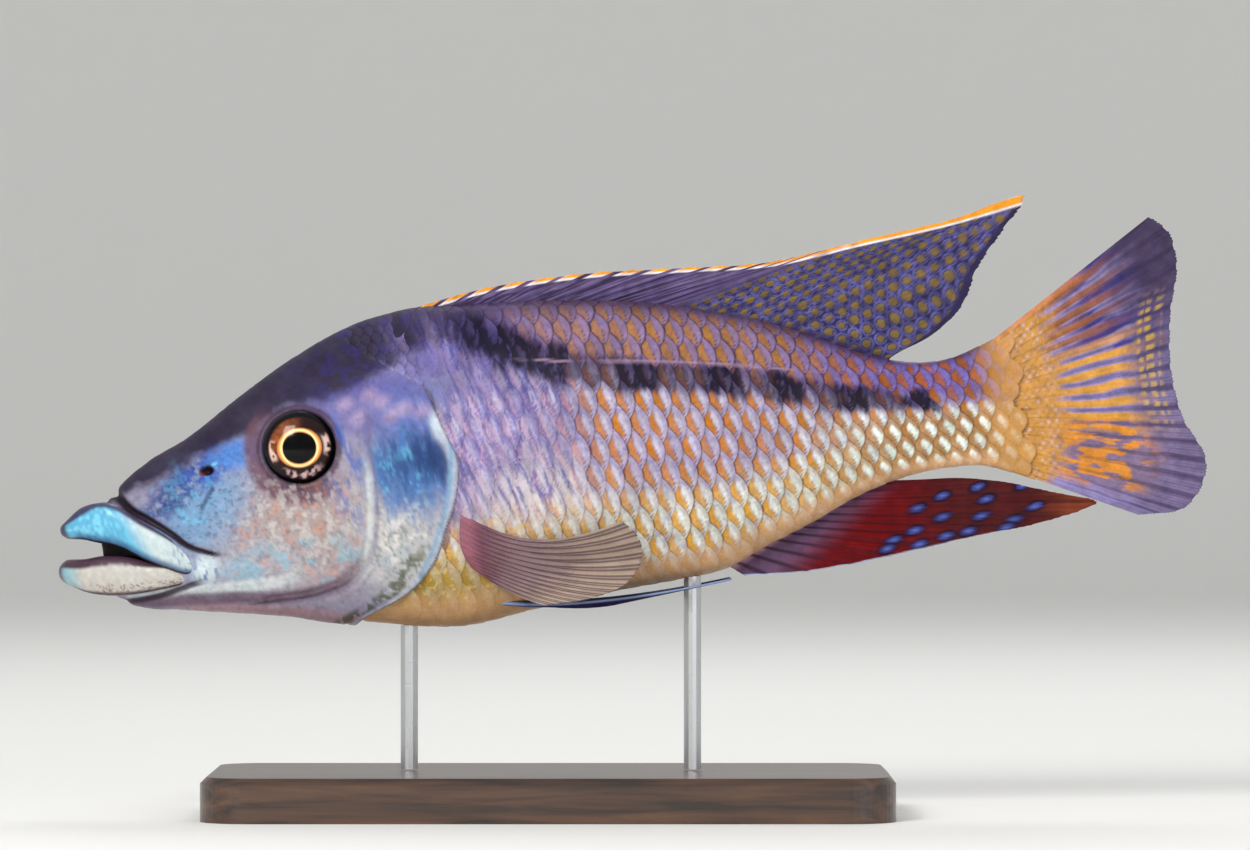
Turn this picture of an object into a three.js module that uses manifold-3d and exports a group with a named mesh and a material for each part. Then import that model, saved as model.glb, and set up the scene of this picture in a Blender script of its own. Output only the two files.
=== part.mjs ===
// A life-size display model of an oblique-striped Lake Malawi cichlid, swimming level with its nose a
// little down, on a flat base with two short rods.
//
// Lengths are millimetres. The fish is made in its own body frame: x runs from the tip of the upper
// lip (0) to the tail, z is up from the body axis, and y is across, with the fish's left flank at -y.
// The whole fish is then pitched nose down and lifted above the base, whose underside is z = 0.
import * as THREE from "three";
import { mergeVertices } from "three/addons/utils/BufferGeometryUtils.js";
import Module from "manifold-3d";

const wasm = await Module();
wasm.setup();

// Driving dimensions
const GAP = 0.3;
const PITCH = THREE.MathUtils.degToRad(8);
const VENT_X = 118.5;
const TAIL_BASE_X = 171;
const TAIL_SWING = 6;
const SWING_FROM_X = 95;
const SWING_LENGTH = 110;

// Outline of the body in side view, as [x, z], and its half width, as [x, y]
const BACK = [
  [7, 1.5], [7.8, 4.6], [9.3, 6.7], [12, 9.2], [17, 12.4], [25, 15.9], [35, 22], [46, 27.8], [56, 31.7],
  [66, 33.4], [78, 32.8], [95, 31.2], [110, 28.7], [121, 25.8], [136, 20.2], [149, 13.7], [155, 11.6],
  [162, 10.8], [171, 13], [177, 15.5],
];
const BELLY = [
  [7, -5], [7.7, -8.8], [9.4, -11.5], [12.5, -13.1], [19, -14.5], [33, -17.3], [49, -20.8], [60, -23.2], [70, -24.6],
  [82, -23.5], [97, -22.2], [110, -21.7], [118, -21], [126, -18], [135, -14.8], [144, -11.2], [152, -9.2],
  [161, -8.5], [168, -9.3], [171, -10.6], [177, -13.6],
];
const HALF_WIDTH = [
  [7, 0.6], [8, 3.4], [10, 5.1], [14, 6.7], [20, 7.9], [30, 9.5], [42, 11.3], [56, 12.9], [72, 13.9],
  [86, 14], [100, 13.3], [115, 11.7], [130, 9.1], [145, 6.1], [158, 3.9], [168, 2.7], [177, 1.7],
];
const WIDEST_SHARE = 0.47;
const BACK_POWER = 1.12;
const BELLY_POWER = 0.82;
const BODY_FROM_X = 7;
const BODY_TO_X = 176;
const BODY_SIDES = 26;
const COVER_SIDES = 14;

// Edge of the gill cover, from the nape round to the throat, and its front edge, as [x, z]
const GILL_EDGE = [
  [60, 38], [64.5, 29], [69, 19], [71.5, 11], [73.3, 5], [72.4, -0.5], [69.4, -7], [65.7, -13.4],
  [59.4, -18], [53, -20.2], [46, -27],
];
const COVER_FRONT = [
  [65, 18.4], [60, 17.6], [57.4, 13], [57, 4], [56.2, -3.4], [54.4, -9.4], [50.5, -13], [42, -15],
];
const COVER_REAR = [
  [45, -17.8], [53, -18.4], [59.2, -17.4], [65, -13.2], [68.7, -7], [71.6, -0.5], [72.5, 5],
  [70.7, 11], [68.4, 17.4],
];
const COVER_THICK = 1.8;
const COVER_PROUD = 0.45;

// Eye and nostril
const EYE = { x: 45.3, z: 11.3, across: 6.7, deep: 3.2, inset: 1.3 };
const ORBIT_RIM = { radius: 6.9, tube: 0.75 };
const NOSTRIL = { x: 28.1, z: 9.5, radius: 1.0 };

// Lips: a half ellipse in plan from corner to corner, with the height of its middle line, its half
// height and its half thickness given along the jaw from the front (0) to the corner (1)
const UPPER_LIP = {
  front: 1.7, reach: 23.6, half: 7.4,
  line: [
    [0, 2.4], [0.1, 3.1], [0.2, 3.0], [0.38, 1.8], [0.56, -1.4], [0.73, -4.0], [0.86, -6.0], [1, -7.2],
  ],
  high: [[0, 1.7], [0.1, 2.8], [0.2, 3.5], [0.38, 3.9], [0.56, 3.6], [0.73, 3.2], [0.86, 2.5], [1, 1.4]],
  thick: [[0, 1.9], [0.5, 1.9], [1, 1.4]],
};
const LOWER_LIP = {
  front: 0.6, reach: 23, half: 6.5,
  line: [[0, -5.2], [0.12, -6.2], [0.25, -6.6], [0.45, -7.2], [0.65, -8.0], [0.85, -8.5], [1, -8.7]],
  high: [[0, 2.3], [0.12, 3.0], [0.25, 3.5], [0.45, 3.5], [0.65, 2.6], [0.85, 1.7], [1, 1.0]],
  thick: [[0, 2.1], [0.5, 2.0], [1, 1.2]],
};
const LIP_STEPS = 16;
const LIP_SIDES = 8;

// Fins: their rays run from the base to the margin, both as [x, z]. The membrane's edge between two
// rays lies back by the notch, a share of the ray's length
const DORSAL = {
  base: [[64, 31], [80, 30.4], [100, 28.4], [118, 24.4], [130, 20.4], [142, 15.4], [150.5, 10.8]],
  margin: [
    [69, 33.6], [80, 35.2], [100, 35.6], [118, 34.2], [134, 33], [150, 34.4], [168, 36], [181.6, 38],
    [176.6, 32.6], [171.2, 26.6], [167.4, 20.2], [161, 15.6], [154, 13.2],
  ],
  rays: 28, rootThick: 1.5, edgeThick: 0.5, ridge: 0.35, notch: 0.036,
};
const ANAL = {
  base: [[117, -19.2], [124, -16.6], [133, -13.6], [140, -10.6], [146, -8.2]],
  margin: [
    [121.5, -22.9], [134, -23.8], [147, -23.1], [164, -21.6], [178, -20.6], [186.8, -18.6],
    [179, -15.6], [170, -12.4], [161, -10.5], [152, -10.1],
  ],
  rays: 13, rootThick: 1.4, edgeThick: 0.5, ridge: 0.3, notch: 0.02,
};
const CAUDAL = {
  base: [[TAIL_BASE_X + GAP, 12.2], [TAIL_BASE_X + GAP, -9.8]],
  margin: [
    [203.5, 31.6], [206.6, 28.4], [207.4, 23.6], [204.8, 13], [203.6, 3], [204.4, -5], [207.6, -14.8],
    [205.8, -19], [203, -21.6], [194, -22],
  ],
  rays: 18, rootThick: 4.4, edgeThick: 0.5, ridge: 0.35, notch: 0.02,
};
const PECTORAL = {
  // Points are [x, z, distance out from the flank]
  base: [[73.4, -4.2, -1.1], [72.8, -9.4, -1.1], [74.8, -15.4, -1.1]],
  bend: [[83, -14.8, 3.2], [83, -18.4, 3.5], [79, -20.4, 3.8]],
  margin: [
    [100.8, -9.6, 4.6], [103.2, -12.6, 4.8], [103.6, -16.6, 5], [101, -20.4, 5.2], [94, -22.6, 5.6],
    [85, -22.8, 5.4],
  ],
  rays: 13, rootThick: 1.4, edgeThick: 0.5, ridge: 0.25, notch: 0.016,
};
const PELVIC = {
  // Points are [x, distance from the middle plane, z]
  base: [[75, 6.4, -21], [78.4, 4.6, -21.4], [81.5, 2.6, -21.6]],
  bend: [[92, 11, -25], [92, 7, -25], [90, 3.4, -25]],
  margin: [[119.5, 6.4, -22.9], [116, 4.4, -23.2], [108, 3, -23.8], [97, 2.3, -24.6]],
  rays: 6, rootThick: 1.5, edgeThick: 0.55, ridge: 0.3, notch: 0.016,
};

// Display stand
const FISH_AT = { x: -88, z: 49 };
const BASE = { length: 124, width: 62, high: 8, corner: 9, chamfer: 1.2 };
const ROD = { radius: 1.6, frontX: 60, rearX: 112, sides: 14 };

// Colours
const COLOURS = {
  head: "#8795ad", lip: "#9fc3d3", cover: "#7fa0b9", trunk: "#b39ba0", tail: "#b48b55", dorsal: "#6a669f",
  anal: "#8c2f34", caudal: "#b98a4f", paired: "#a98a92", eye: "#3a241c", wood: "#4a3425", steel: "#b4b6ba",
};

// Curves

// A smooth function through the given [x, value] points, straight beyond both ends
function through(points) {
  const last = points.length - 1;
  const rise = (i) => (points[i + 1][1] - points[i][1]) / (points[i + 1][0] - points[i][0]);
  const run = (i) => points[i + 1][0] - points[i][0];
  const slopes = points.map((_, i) => {
    if (i === 0) return rise(0);
    if (i === last) return rise(last - 1);
    return (rise(i - 1) * run(i) + rise(i) * run(i - 1)) / (run(i - 1) + run(i));
  });
  return (x) => {
    if (x <= points[0][0]) return points[0][1] + (x - points[0][0]) * slopes[0];
    if (x >= points[last][0]) return points[last][1] + (x - points[last][0]) * slopes[last];
    const i = points.findIndex((p, k) => k < last && x < points[k + 1][0]);
    const h = run(i);
    const t = (x - points[i][0]) / h;
    const curve = THREE.MathUtils;
    const blend = curve.smoothstep(t, 0, 1);
    return (
      points[i][1] * (1 - blend) + points[i + 1][1] * blend +
      h * t * (1 - t) * ((1 - t) * slopes[i] - t * slopes[i + 1])
    );
  };
}

// A smooth path through points of any dimension, as a function of 0 to 1 along its length
function pathThrough(points) {
  const along = [0];
  for (let i = 1; i < points.length; i++) {
    const step = Math.hypot(...points[i].map((value, k) => value - points[i - 1][k]));
    along.push(along[i - 1] + step);
  }
  const total = along[along.length - 1];
  const axes = points[0].map((_, k) => through(points.map((p, i) => [along[i] / total, p[k]])));
  return (t) => axes.map((axis) => axis(t));
}

const backLine = through(BACK);
const bellyLine = through(BELLY);
const halfWidth = through(HALF_WIDTH);
const swing = (x) => TAIL_SWING * Math.max(0, (x - SWING_FROM_X) / SWING_LENGTH) ** 2;

// Solids

// Joins rings of equal count into one closed skin, with a fan over each end. The second half of each
// ring takes the other diagonal, so that both faces of a fin are split alike.
function loft(rings) {
  const count = rings[0].length;
  const middle = (ring) => [0, 1, 2].map((k) => ring.reduce((sum, p) => sum + p[k], 0) / count);
  const points = [...rings.flat(), middle(rings[0]), middle(rings[rings.length - 1])];
  const faces = [];
  for (let i = 0; i + 1 < rings.length; i++) {
    for (let j = 0; j < count; j++) {
      const next = (j + 1) % count;
      const [a, b] = [i * count + j, i * count + next];
      const [c, d] = [a + count, b + count];
      if (j < count / 2) faces.push(a, b, d, a, d, c);
      else faces.push(a, b, c, b, d, c);
    }
  }
  const lastRing = (rings.length - 1) * count;
  for (let j = 0; j < count; j++) {
    const next = (j + 1) % count;
    faces.push(points.length - 2, next, j);
    faces.push(points.length - 1, lastRing + j, lastRing + next);
  }
  const geometry = new THREE.BufferGeometry();
  geometry.setAttribute("position", new THREE.Float32BufferAttribute(points.flat(), 3));
  geometry.setIndex(faces);
  return geometry;
}

function solid(geometry) {
  const bare = geometry.clone();
  bare.deleteAttribute("normal");
  bare.deleteAttribute("uv");
  const merged = mergeVertices(bare, 1e-4);
  const made = new wasm.Manifold(
    new wasm.Mesh({
      numProp: 3,
      vertProperties: new Float32Array(merged.attributes.position.array),
      triVerts: new Uint32Array(merged.index.array),
    }),
  );
  if (made.volume() > 0) return made;
  const turned = merged.index.array.slice().reverse();
  merged.setIndex(Array.from(turned));
  return new wasm.Manifold(
    new wasm.Mesh({
      numProp: 3,
      vertProperties: new Float32Array(merged.attributes.position.array),
      triVerts: new Uint32Array(turned),
    }),
  );
}

// The largest closed body of a solid, without sealed hollows
function largest(made) {
  return made.decompose().reduce((best, part) => (part.volume() > best.volume() ? part : best));
}

// A straight-sided block over an outline in side view, from one y to another
function sideBlock(outline, fromY, toY) {
  const shape = new THREE.Shape(outline.map(([x, z]) => new THREE.Vector2(x, z)));
  const block = new THREE.ExtrudeGeometry(shape, { depth: toY - fromY, bevelEnabled: false });
  return solid(block.rotateX(Math.PI / 2).translate(0, toY, 0));
}

function ellipsoid(centre, radii, segments = 16) {
  const ball = new THREE.SphereGeometry(1, segments, Math.round(segments * 0.7));
  return solid(ball.scale(...radii).translate(...centre));
}

// Body

// A point of the body's skin at x: angle 0 is the back, and a quarter turn the left flank
function skinPoint(x, angle, grow = 0) {
  const top = backLine(x) + grow;
  const bottom = bellyLine(x) - grow;
  const middle = bottom + WIDEST_SHARE * (top - bottom);
  const up = Math.cos(angle);
  const out = Math.sin(angle);
  const power = THREE.MathUtils.mapLinear(up, -1, 1, BELLY_POWER, BACK_POWER);
  const y = -Math.sign(out) * Math.abs(out) ** power * (halfWidth(x) + grow);
  return [x, y, middle + up * (up > 0 ? top - middle : middle - bottom)];
}

// How far out the flank lies at x and height z
function flankAt(x, z) {
  const top = backLine(x);
  const bottom = bellyLine(x);
  const middle = bottom + WIDEST_SHARE * (top - bottom);
  const up = THREE.MathUtils.clamp((z - middle) / (z > middle ? top - middle : middle - bottom), -1, 1);
  const power = THREE.MathUtils.mapLinear(up, -1, 1, BELLY_POWER, BACK_POWER);
  return Math.abs(Math.sin(Math.acos(up))) ** power * halfWidth(x);
}

// Stations lie close together at the snout and wider along the trunk, as [from x, step]
const STATION_STEPS = [[BODY_FROM_X, 0.9], [12, 3.2], [76, 5.5]];
const STATIONS = [];
for (let x = BODY_FROM_X; x < BODY_TO_X; x += STATION_STEPS.findLast(([from]) => x >= from)[1]) {
  STATIONS.push(x);
}
STATIONS.push(BODY_TO_X);

// The body as one solid, grown all round by a gap where something else is cut clear of it
function body(grow = 0, sides = BODY_SIDES, pose = new THREE.Matrix4()) {
  const rings = STATIONS.map((x) => {
    const ring = [];
    for (let j = 0; j < sides; j++) ring.push(skinPoint(x, (2 * Math.PI * j) / sides, grow));
    return ring;
  });
  if (grow !== 0) {
    rings[0] = rings[0].map(([x, y, z]) => [x - grow, y, z]);
    rings[rings.length - 1] = rings[rings.length - 1].map(([x, y, z]) => [x + grow, y, z]);
  }
  return solid(loft(rings).applyMatrix4(pose));
}

const FAR = 60;
const gillPath = pathThrough(GILL_EDGE);
const gillEdge = Array.from({ length: 19 }, (_, i) => gillPath(i / 18));
const headSide = (shift) => sideBlock(
  [[-FAR, FAR], ...gillEdge.map(([x, z]) => [x + shift, z]), [-FAR, -FAR]], -FAR, FAR,
);
const behindX = (x) => sideBlock([[x, FAR], [x, -FAR], [300, -FAR], [300, FAR]], -FAR, FAR);

const wholeBody = body();
const bodyWithGap = body(GAP);

// Jaws

// One lip and the inside of its jaw. side is +1 for the upper jaw's roof and -1 for the lower floor.
function lip(spec, grow = 0) {
  const line = through(spec.line);
  const high = through(spec.high);
  const thick = through(spec.thick);
  const rings = [];
  for (let i = 0; i <= LIP_STEPS; i++) {
    const turn = THREE.MathUtils.lerp(-Math.PI / 2, Math.PI / 2, i / LIP_STEPS);
    const share = Math.abs(turn) / (Math.PI / 2);
    const centre = [
      spec.front + spec.reach * (1 - Math.cos(turn)),
      spec.half * Math.sin(turn),
      line(1 - Math.cos(turn)),
    ];
    const along = new THREE.Vector2(spec.reach * Math.sin(turn), spec.half * Math.cos(turn)).normalize();
    const ring = [];
    for (let j = 0; j < LIP_SIDES; j++) {
      const around = (2 * Math.PI * j) / LIP_SIDES;
      const out = Math.cos(around) * (thick(share) + grow);
      ring.push([
        centre[0] - along.y * out,
        centre[1] + along.x * out,
        centre[2] + Math.sin(around) * (high(1 - Math.cos(turn)) + grow),
      ]);
    }
    rings.push(ring);
  }
  return solid(loft(rings));
}

const mouthHollow = ellipsoid([8, 0, -2.1], [10, 4.6, 2.2], 14);
const palate = ellipsoid([10, 0, 3.4], [8.2, 5.4, 3.1], 12);
const jawFloor = ellipsoid([10.4, 0, -8.8], [10.2, 5.6, 2.9], 12);

const lowerJaw = largest(
  lip(LOWER_LIP).add(jawFloor).subtract(mouthHollow).subtract(bodyWithGap),
);
const upperJaw = largest(
  lip(UPPER_LIP).add(palate).subtract(mouthHollow).subtract(bodyWithGap)
    .subtract(lip(LOWER_LIP, GAP)).subtract(ellipsoid([10.4, 0, -8.8], [10.5, 5.9, 3.2], 12)),
);

// Head, with eye sockets, orbit rims, nostrils and the beds of the gill covers

function eyeball(side, grow = 0) {
  const out = flankAt(EYE.x, EYE.z) - EYE.inset;
  return ellipsoid(
    [EYE.x, side * out, EYE.z], [EYE.across + grow, EYE.deep + grow, EYE.across + grow], 18,
  );
}

// The skin leans in towards the back of the head, so the rim leans with it
function orbitRim(side) {
  const lower = flankAt(EYE.x, EYE.z - 3);
  const upper = flankAt(EYE.x, EYE.z + 3);
  const lean = Math.atan2(lower - upper, 6);
  const ring = new THREE.TorusGeometry(ORBIT_RIM.radius, ORBIT_RIM.tube, 6, 22);
  ring.rotateX(Math.PI / 2 + side * lean);
  return solid(ring.translate(EYE.x, side * (flankAt(EYE.x, EYE.z) - 0.1), EYE.z));
}

function coverBlock(side, grow) {
  const front = pathThrough(COVER_FRONT);
  const rear = pathThrough(COVER_REAR);
  const outline = [];
  for (let i = 0; i <= 10; i++) outline.push(front(i / 10));
  for (let i = 0; i <= 14; i++) outline.push(rear(i / 14));
  const grown = outline.map(([x, z], i) => {
    const before = outline.at(i - 1);
    const after = outline[(i + 1) % outline.length];
    const out = new THREE.Vector2(after[1] - before[1], before[0] - after[0]).setLength(grow);
    return [x + out.x, z + out.y];
  });
  return side < 0 ? sideBlock(grown, -FAR, -2) : sideBlock(grown, 2, FAR);
}

const coverShell = body(COVER_PROUD).subtract(body(-COVER_THICK, COVER_SIDES));
const coverBed = body(COVER_PROUD + 1, COVER_SIDES).subtract(body(-COVER_THICK - GAP, COVER_SIDES));

let head = wholeBody.intersect(headSide(0));
for (const side of [-1, 1]) {
  head = head.add(orbitRim(side)).subtract(eyeball(side, GAP));
  head = head.subtract(coverBlock(side, GAP).intersect(coverBed));
  const nostrilY = side * flankAt(NOSTRIL.x, NOSTRIL.z);
  head = head.subtract(ellipsoid([NOSTRIL.x, nostrilY, NOSTRIL.z], [1.3, 1.6, NOSTRIL.radius], 10));
}
head = largest(head.subtract(mouthHollow));

const trunk = largest(wholeBody.subtract(headSide(GAP)).subtract(behindX(VENT_X)));
const tail = largest(
  wholeBody.intersect(behindX(VENT_X + GAP)).subtract(behindX(TAIL_BASE_X)),
);

// Fins

// A fin whose rays stand proud of the membrane on both faces. place(t, s) is a point of its middle
// sheet, t across the rays and s from root to margin, and normal(t, s) its unit normal.
function fin(spec, place, normal, steps) {
  const columns = 2 * spec.rays;
  const rings = [];
  for (let i = 0; i <= columns; i++) {
    const t = i / columns;
    const onRay = i % 2 === 1;
    const faces = [[], []];
    for (let j = 0; j <= steps; j++) {
      const s = j / steps;
      const reach = onRay || i === 0 || i === columns ? s : s * (1 - spec.notch);
      const centre = place(t, reach);
      const out = normal(t, s);
      const web = THREE.MathUtils.lerp(spec.rootThick, spec.edgeThick, Math.min(1, s * 1.5) ** 0.6);
      const half = web / 2 + (onRay ? spec.ridge * (1 - 0.6 * s) : 0);
      faces[0].push(centre.map((value, k) => value - out[k] * half));
      faces[1].unshift(centre.map((value, k) => value + out[k] * half));
    }
    rings.push([...faces[0], ...faces[1]]);
  }
  return solid(loft(rings));
}

// Fins in the middle plane, with straight rays
function medianFin(spec, steps) {
  const base = pathThrough(spec.base);
  const margin = pathThrough(spec.margin);
  const place = (t, s) => {
    const from = base(t);
    const to = margin(t);
    return [THREE.MathUtils.lerp(from[0], to[0], s), 0, THREE.MathUtils.lerp(from[1], to[1], s)];
  };
  return fin(spec, place, () => [0, 1, 0], steps);
}

// Fins in pairs: each ray bends once on its way from base to margin. spot turns a spec point into
// x, y, z on the asked side.
function pairedFin(spec, spot, steps) {
  const [base, bend, margin] = [spec.base, spec.bend, spec.margin].map((points) =>
    pathThrough(points.map(spot)),
  );
  const place = (t, s) => {
    const [a, b, c] = [base(t), bend(t), margin(t)];
    return a.map((_, k) => (1 - s) ** 2 * a[k] + 2 * s * (1 - s) * b[k] + s * s * c[k]);
  };
  const normal = (t, s) => {
    const span = (from, to) => new THREE.Vector3(...to.map((value, k) => value - from[k]));
    const [low, high] = [Math.max(0, t - 0.02), Math.min(1, t + 0.02)];
    const across = span(place(low, Math.max(s, 0.05)), place(high, Math.max(s, 0.05)));
    const along = span(place(t, Math.max(0, s - 0.05)), place(t, Math.min(1, s + 0.05)));
    return across.cross(along).normalize().toArray();
  };
  return fin(spec, place, normal, steps);
}

const keepAbove = sideBlock(DORSAL.base.concat([[190, 5], [190, FAR], [50, FAR], [50, 31]]), -FAR, FAR);
const dorsalFin = largest(medianFin(DORSAL, 5).intersect(keepAbove).subtract(bodyWithGap));
const caudalFin = largest(medianFin(CAUDAL, 6));
const analFin = largest(
  medianFin(ANAL, 5).subtract(bodyWithGap).subtract(medianFin({ ...CAUDAL, rootThick: 5 }, 4)),
);

const pectoralFin = (side) => {
  const spot = ([x, z, out]) => [x, side * (flankAt(x, Math.max(z, bellyLine(x) + 4)) + out), z];
  return largest(pairedFin(PECTORAL, spot, 5).subtract(bodyWithGap).subtract(headSide(GAP)));
};
const pelvicFin = (side) => {
  const spot = ([x, out, z]) => [x, side * out, z];
  return largest(pairedFin(PELVIC, spot, 5).subtract(bodyWithGap));
};

// Display stand, made in the upright frame

const fishPose = new THREE.Matrix4()
  .makeTranslation(FISH_AT.x, 0, FISH_AT.z)
  .multiply(new THREE.Matrix4().makeRotationY(-PITCH));

function standRod(bodyX) {
  const foot = new THREE.Vector3(bodyX, 0, bellyLine(bodyX)).applyMatrix4(fishPose);
  const bottom = BASE.high + GAP;
  const rod = new THREE.CylinderGeometry(ROD.radius, ROD.radius, foot.z + 3 - bottom, ROD.sides);
  rod.rotateX(Math.PI / 2).translate(foot.x, swing(bodyX), (foot.z + 3 + bottom) / 2);
  const lowest = (part) => part.boundingBox().min[2];
  return solid(rod).subtract(body(GAP, BODY_SIDES, fishPose)).decompose()
    .reduce((best, part) => (lowest(part) < lowest(best) ? part : best));
}

function standBase() {
  const [w, d, r] = [BASE.length / 2, BASE.width / 2, BASE.corner];
  const plate = new THREE.Shape();
  plate.absarc(w - r, d - r, r, 0, Math.PI / 2);
  plate.absarc(r - w, d - r, r, Math.PI / 2, Math.PI);
  plate.absarc(r - w, r - d, r, Math.PI, 1.5 * Math.PI);
  plate.absarc(w - r, r - d, r, 1.5 * Math.PI, 2 * Math.PI);
  const block = new THREE.ExtrudeGeometry(plate, {
    depth: BASE.high - BASE.chamfer,
    bevelThickness: BASE.chamfer,
    bevelSize: BASE.chamfer,
    bevelOffset: -BASE.chamfer,
    bevelSegments: 1,
    curveSegments: 6,
  });
  const cutLow = new THREE.BoxGeometry(300, 300, 40).translate(0, 0, -20);
  return solid(block).subtract(solid(cutLow));
}

// The model

// A named mesh of one closed solid. Pieces of the fish take the sideways swing of the tail here.
function meshOf(name, made, colour, swings = true) {
  const { vertProperties, triVerts } = made.getMesh();
  const places = new Float32Array(vertProperties);
  if (swings) {
    for (let i = 0; i < places.length; i += 3) places[i + 1] += swing(places[i]);
  }
  const geometry = new THREE.BufferGeometry();
  geometry.setAttribute("position", new THREE.BufferAttribute(places, 3));
  geometry.setIndex(new THREE.BufferAttribute(triVerts, 1));
  geometry.computeVertexNormals();
  const steel = colour === COLOURS.steel;
  const material = new THREE.MeshStandardMaterial({
    color: colour, roughness: steel ? 0.3 : 0.45, metalness: steel ? 1 : 0,
  });
  const mesh = new THREE.Mesh(geometry, material);
  mesh.name = name;
  return mesh;
}

const fish = new THREE.Group();
fish.position.set(FISH_AT.x, 0, FISH_AT.z);
fish.rotation.y = -PITCH;
fish.add(
  meshOf("head", head, COLOURS.head),
  meshOf("upper_jaw", upperJaw, COLOURS.lip),
  meshOf("lower_jaw", lowerJaw, COLOURS.lip),
  meshOf("trunk", trunk, COLOURS.trunk),
  meshOf("tail_stalk", tail, COLOURS.tail),
  meshOf("dorsal_fin", dorsalFin, COLOURS.dorsal),
  meshOf("anal_fin", analFin, COLOURS.anal),
  meshOf("caudal_fin", caudalFin, COLOURS.caudal),
);
for (const [side, word] of [[-1, "left"], [1, "right"]]) {
  fish.add(
    meshOf(`eye_${word}`, eyeball(side), COLOURS.eye),
    meshOf(`gill_cover_${word}`, largest(coverShell.intersect(coverBlock(side, 0))), COLOURS.cover),
    meshOf(`pectoral_fin_${word}`, pectoralFin(side), COLOURS.paired),
    meshOf(`pelvic_fin_${word}`, pelvicFin(side), COLOURS.paired),
  );
}

const model = new THREE.Group();
model.add(
  fish,
  meshOf("stand_base", standBase(), COLOURS.wood, false),
  meshOf("stand_rod_front", standRod(ROD.frontX), COLOURS.steel, false),
  meshOf("stand_rod_rear", standRod(ROD.rearX), COLOURS.steel, false),
);

export default model;
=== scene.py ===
"""A life-size display model of an oblique-striped Lake Malawi cichlid, in a plain studio.

Body shapes are worked out in millimetres in the fish's own frame: x runs from the tip of the upper
lip towards the tail, z is up from the body axis, and y is across, with the left flank at -y. They are
then pitched, lifted above the stand and turned into metres by to_world.
"""
import math

import bpy
import numpy as np
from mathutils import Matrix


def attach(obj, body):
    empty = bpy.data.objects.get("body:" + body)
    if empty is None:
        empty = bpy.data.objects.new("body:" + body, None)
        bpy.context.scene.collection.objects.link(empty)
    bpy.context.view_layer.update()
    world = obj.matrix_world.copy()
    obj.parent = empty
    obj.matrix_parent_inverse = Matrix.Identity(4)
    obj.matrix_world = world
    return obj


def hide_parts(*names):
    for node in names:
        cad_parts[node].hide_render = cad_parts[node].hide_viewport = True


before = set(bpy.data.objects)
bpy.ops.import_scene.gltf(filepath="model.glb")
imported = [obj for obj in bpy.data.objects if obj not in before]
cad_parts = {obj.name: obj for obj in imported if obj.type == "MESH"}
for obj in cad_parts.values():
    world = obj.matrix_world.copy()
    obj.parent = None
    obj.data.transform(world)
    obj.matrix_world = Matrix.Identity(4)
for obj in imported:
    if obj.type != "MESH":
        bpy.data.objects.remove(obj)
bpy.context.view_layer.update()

# Placing of the fish, as in the construction
MM = 0.001
PITCH = math.radians(8)
FISH_X, FISH_Z = -88.0, 49.0
TAIL_SWING, SWING_FROM_X, SWING_LENGTH = 6.0, 95.0, 110.0
TAIL_BASE_X = 171.0
NOSE_X, BODY_END_X = 7.0, 176.0
GAP = 0.3

# Outline of the body in side view, as [x, z], and its half width, as [x, y]
BACK = [
    (7, 1.5), (7.8, 4.6), (9.3, 6.7), (12, 9.2), (17, 12.4), (25, 15.9), (35, 22), (46, 27.8), (56, 31.7),
    (66, 33.4), (78, 32.8), (95, 31.2), (110, 28.7), (121, 25.8), (136, 20.2), (149, 13.7), (155, 11.6),
    (162, 10.8), (171, 13), (177, 15.5),
]
BELLY = [
    (7, -5), (7.7, -8.8), (9.4, -11.5), (12.5, -13.1), (19, -14.5), (33, -17.3), (49, -20.8), (60, -23.2),
    (70, -24.6), (82, -23.5), (97, -22.2), (110, -21.7), (118, -21), (126, -18), (135, -14.8),
    (144, -11.2), (152, -9.2), (161, -8.5), (168, -9.3), (171, -10.6), (177, -13.6),
]
HALF_WIDTH = [
    (7, 0.6), (8, 3.4), (10, 5.1), (14, 6.7), (20, 7.9), (30, 9.5), (42, 11.3), (56, 12.9), (72, 13.9),
    (86, 14), (100, 13.3), (115, 11.7), (130, 9.1), (145, 6.1), (158, 3.9), (168, 2.7), (177, 1.7),
]
WIDEST_SHARE = 0.47
BACK_POWER, BELLY_POWER = 1.12, 0.82

# Lines on the flank, as [x, z]
GILL_EDGE = [
    (60, 38), (64.5, 29), (69, 19), (71.5, 11), (73.3, 5), (72.4, -0.5), (69.4, -7), (65.7, -13.4),
    (59.4, -18), (53, -20.2), (46, -27),
]
PREOPERCLE = [
    (57.5, 15), (57, 9), (57, 3.8), (56.4, -3.4), (54.6, -9.5), (51.8, -12.7), (46, -14.8), (36, -15.2),
]
STRIPE = [
    (64, 34), (73.5, 30.5), (80.1, 26.9), (86.8, 22.9), (93.6, 19.6), (104.1, 16.3), (118.2, 13.4),
    (128.8, 11.0), (144.5, 6.4), (158.7, 3.7), (170, 2.2),
]
LATERAL_LINE = [(74, 23.2), (85.7, 21.6), (94.6, 20.1), (110, 17.8), (129.2, 14.2), (141.2, 11.4)]
MIDDLE_ROW = [(60, 12), (73, 10.5), (86, 9), (100, 7.5), (120, 5.2), (141, 3), (160, 1.7), (178, 1)]

EYE_X, EYE_Z, EYE_ACROSS, EYE_DEEP, EYE_INSET = 45.3, 11.3, 6.7, 3.2, 1.3
NOSTRIL_X, NOSTRIL_Z = 28.1, 9.5

# Mesh of the skin: fine rings as far back as the gill covers reach, wider ones behind them
SKIN_SINK = 0.08
FINE_RINGS_TO, FINE_RING_STEP, RING_STEP = 76, 0.3, 1.1
RELIEF_TO = 80
SKIN_SIDES = 300

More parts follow.
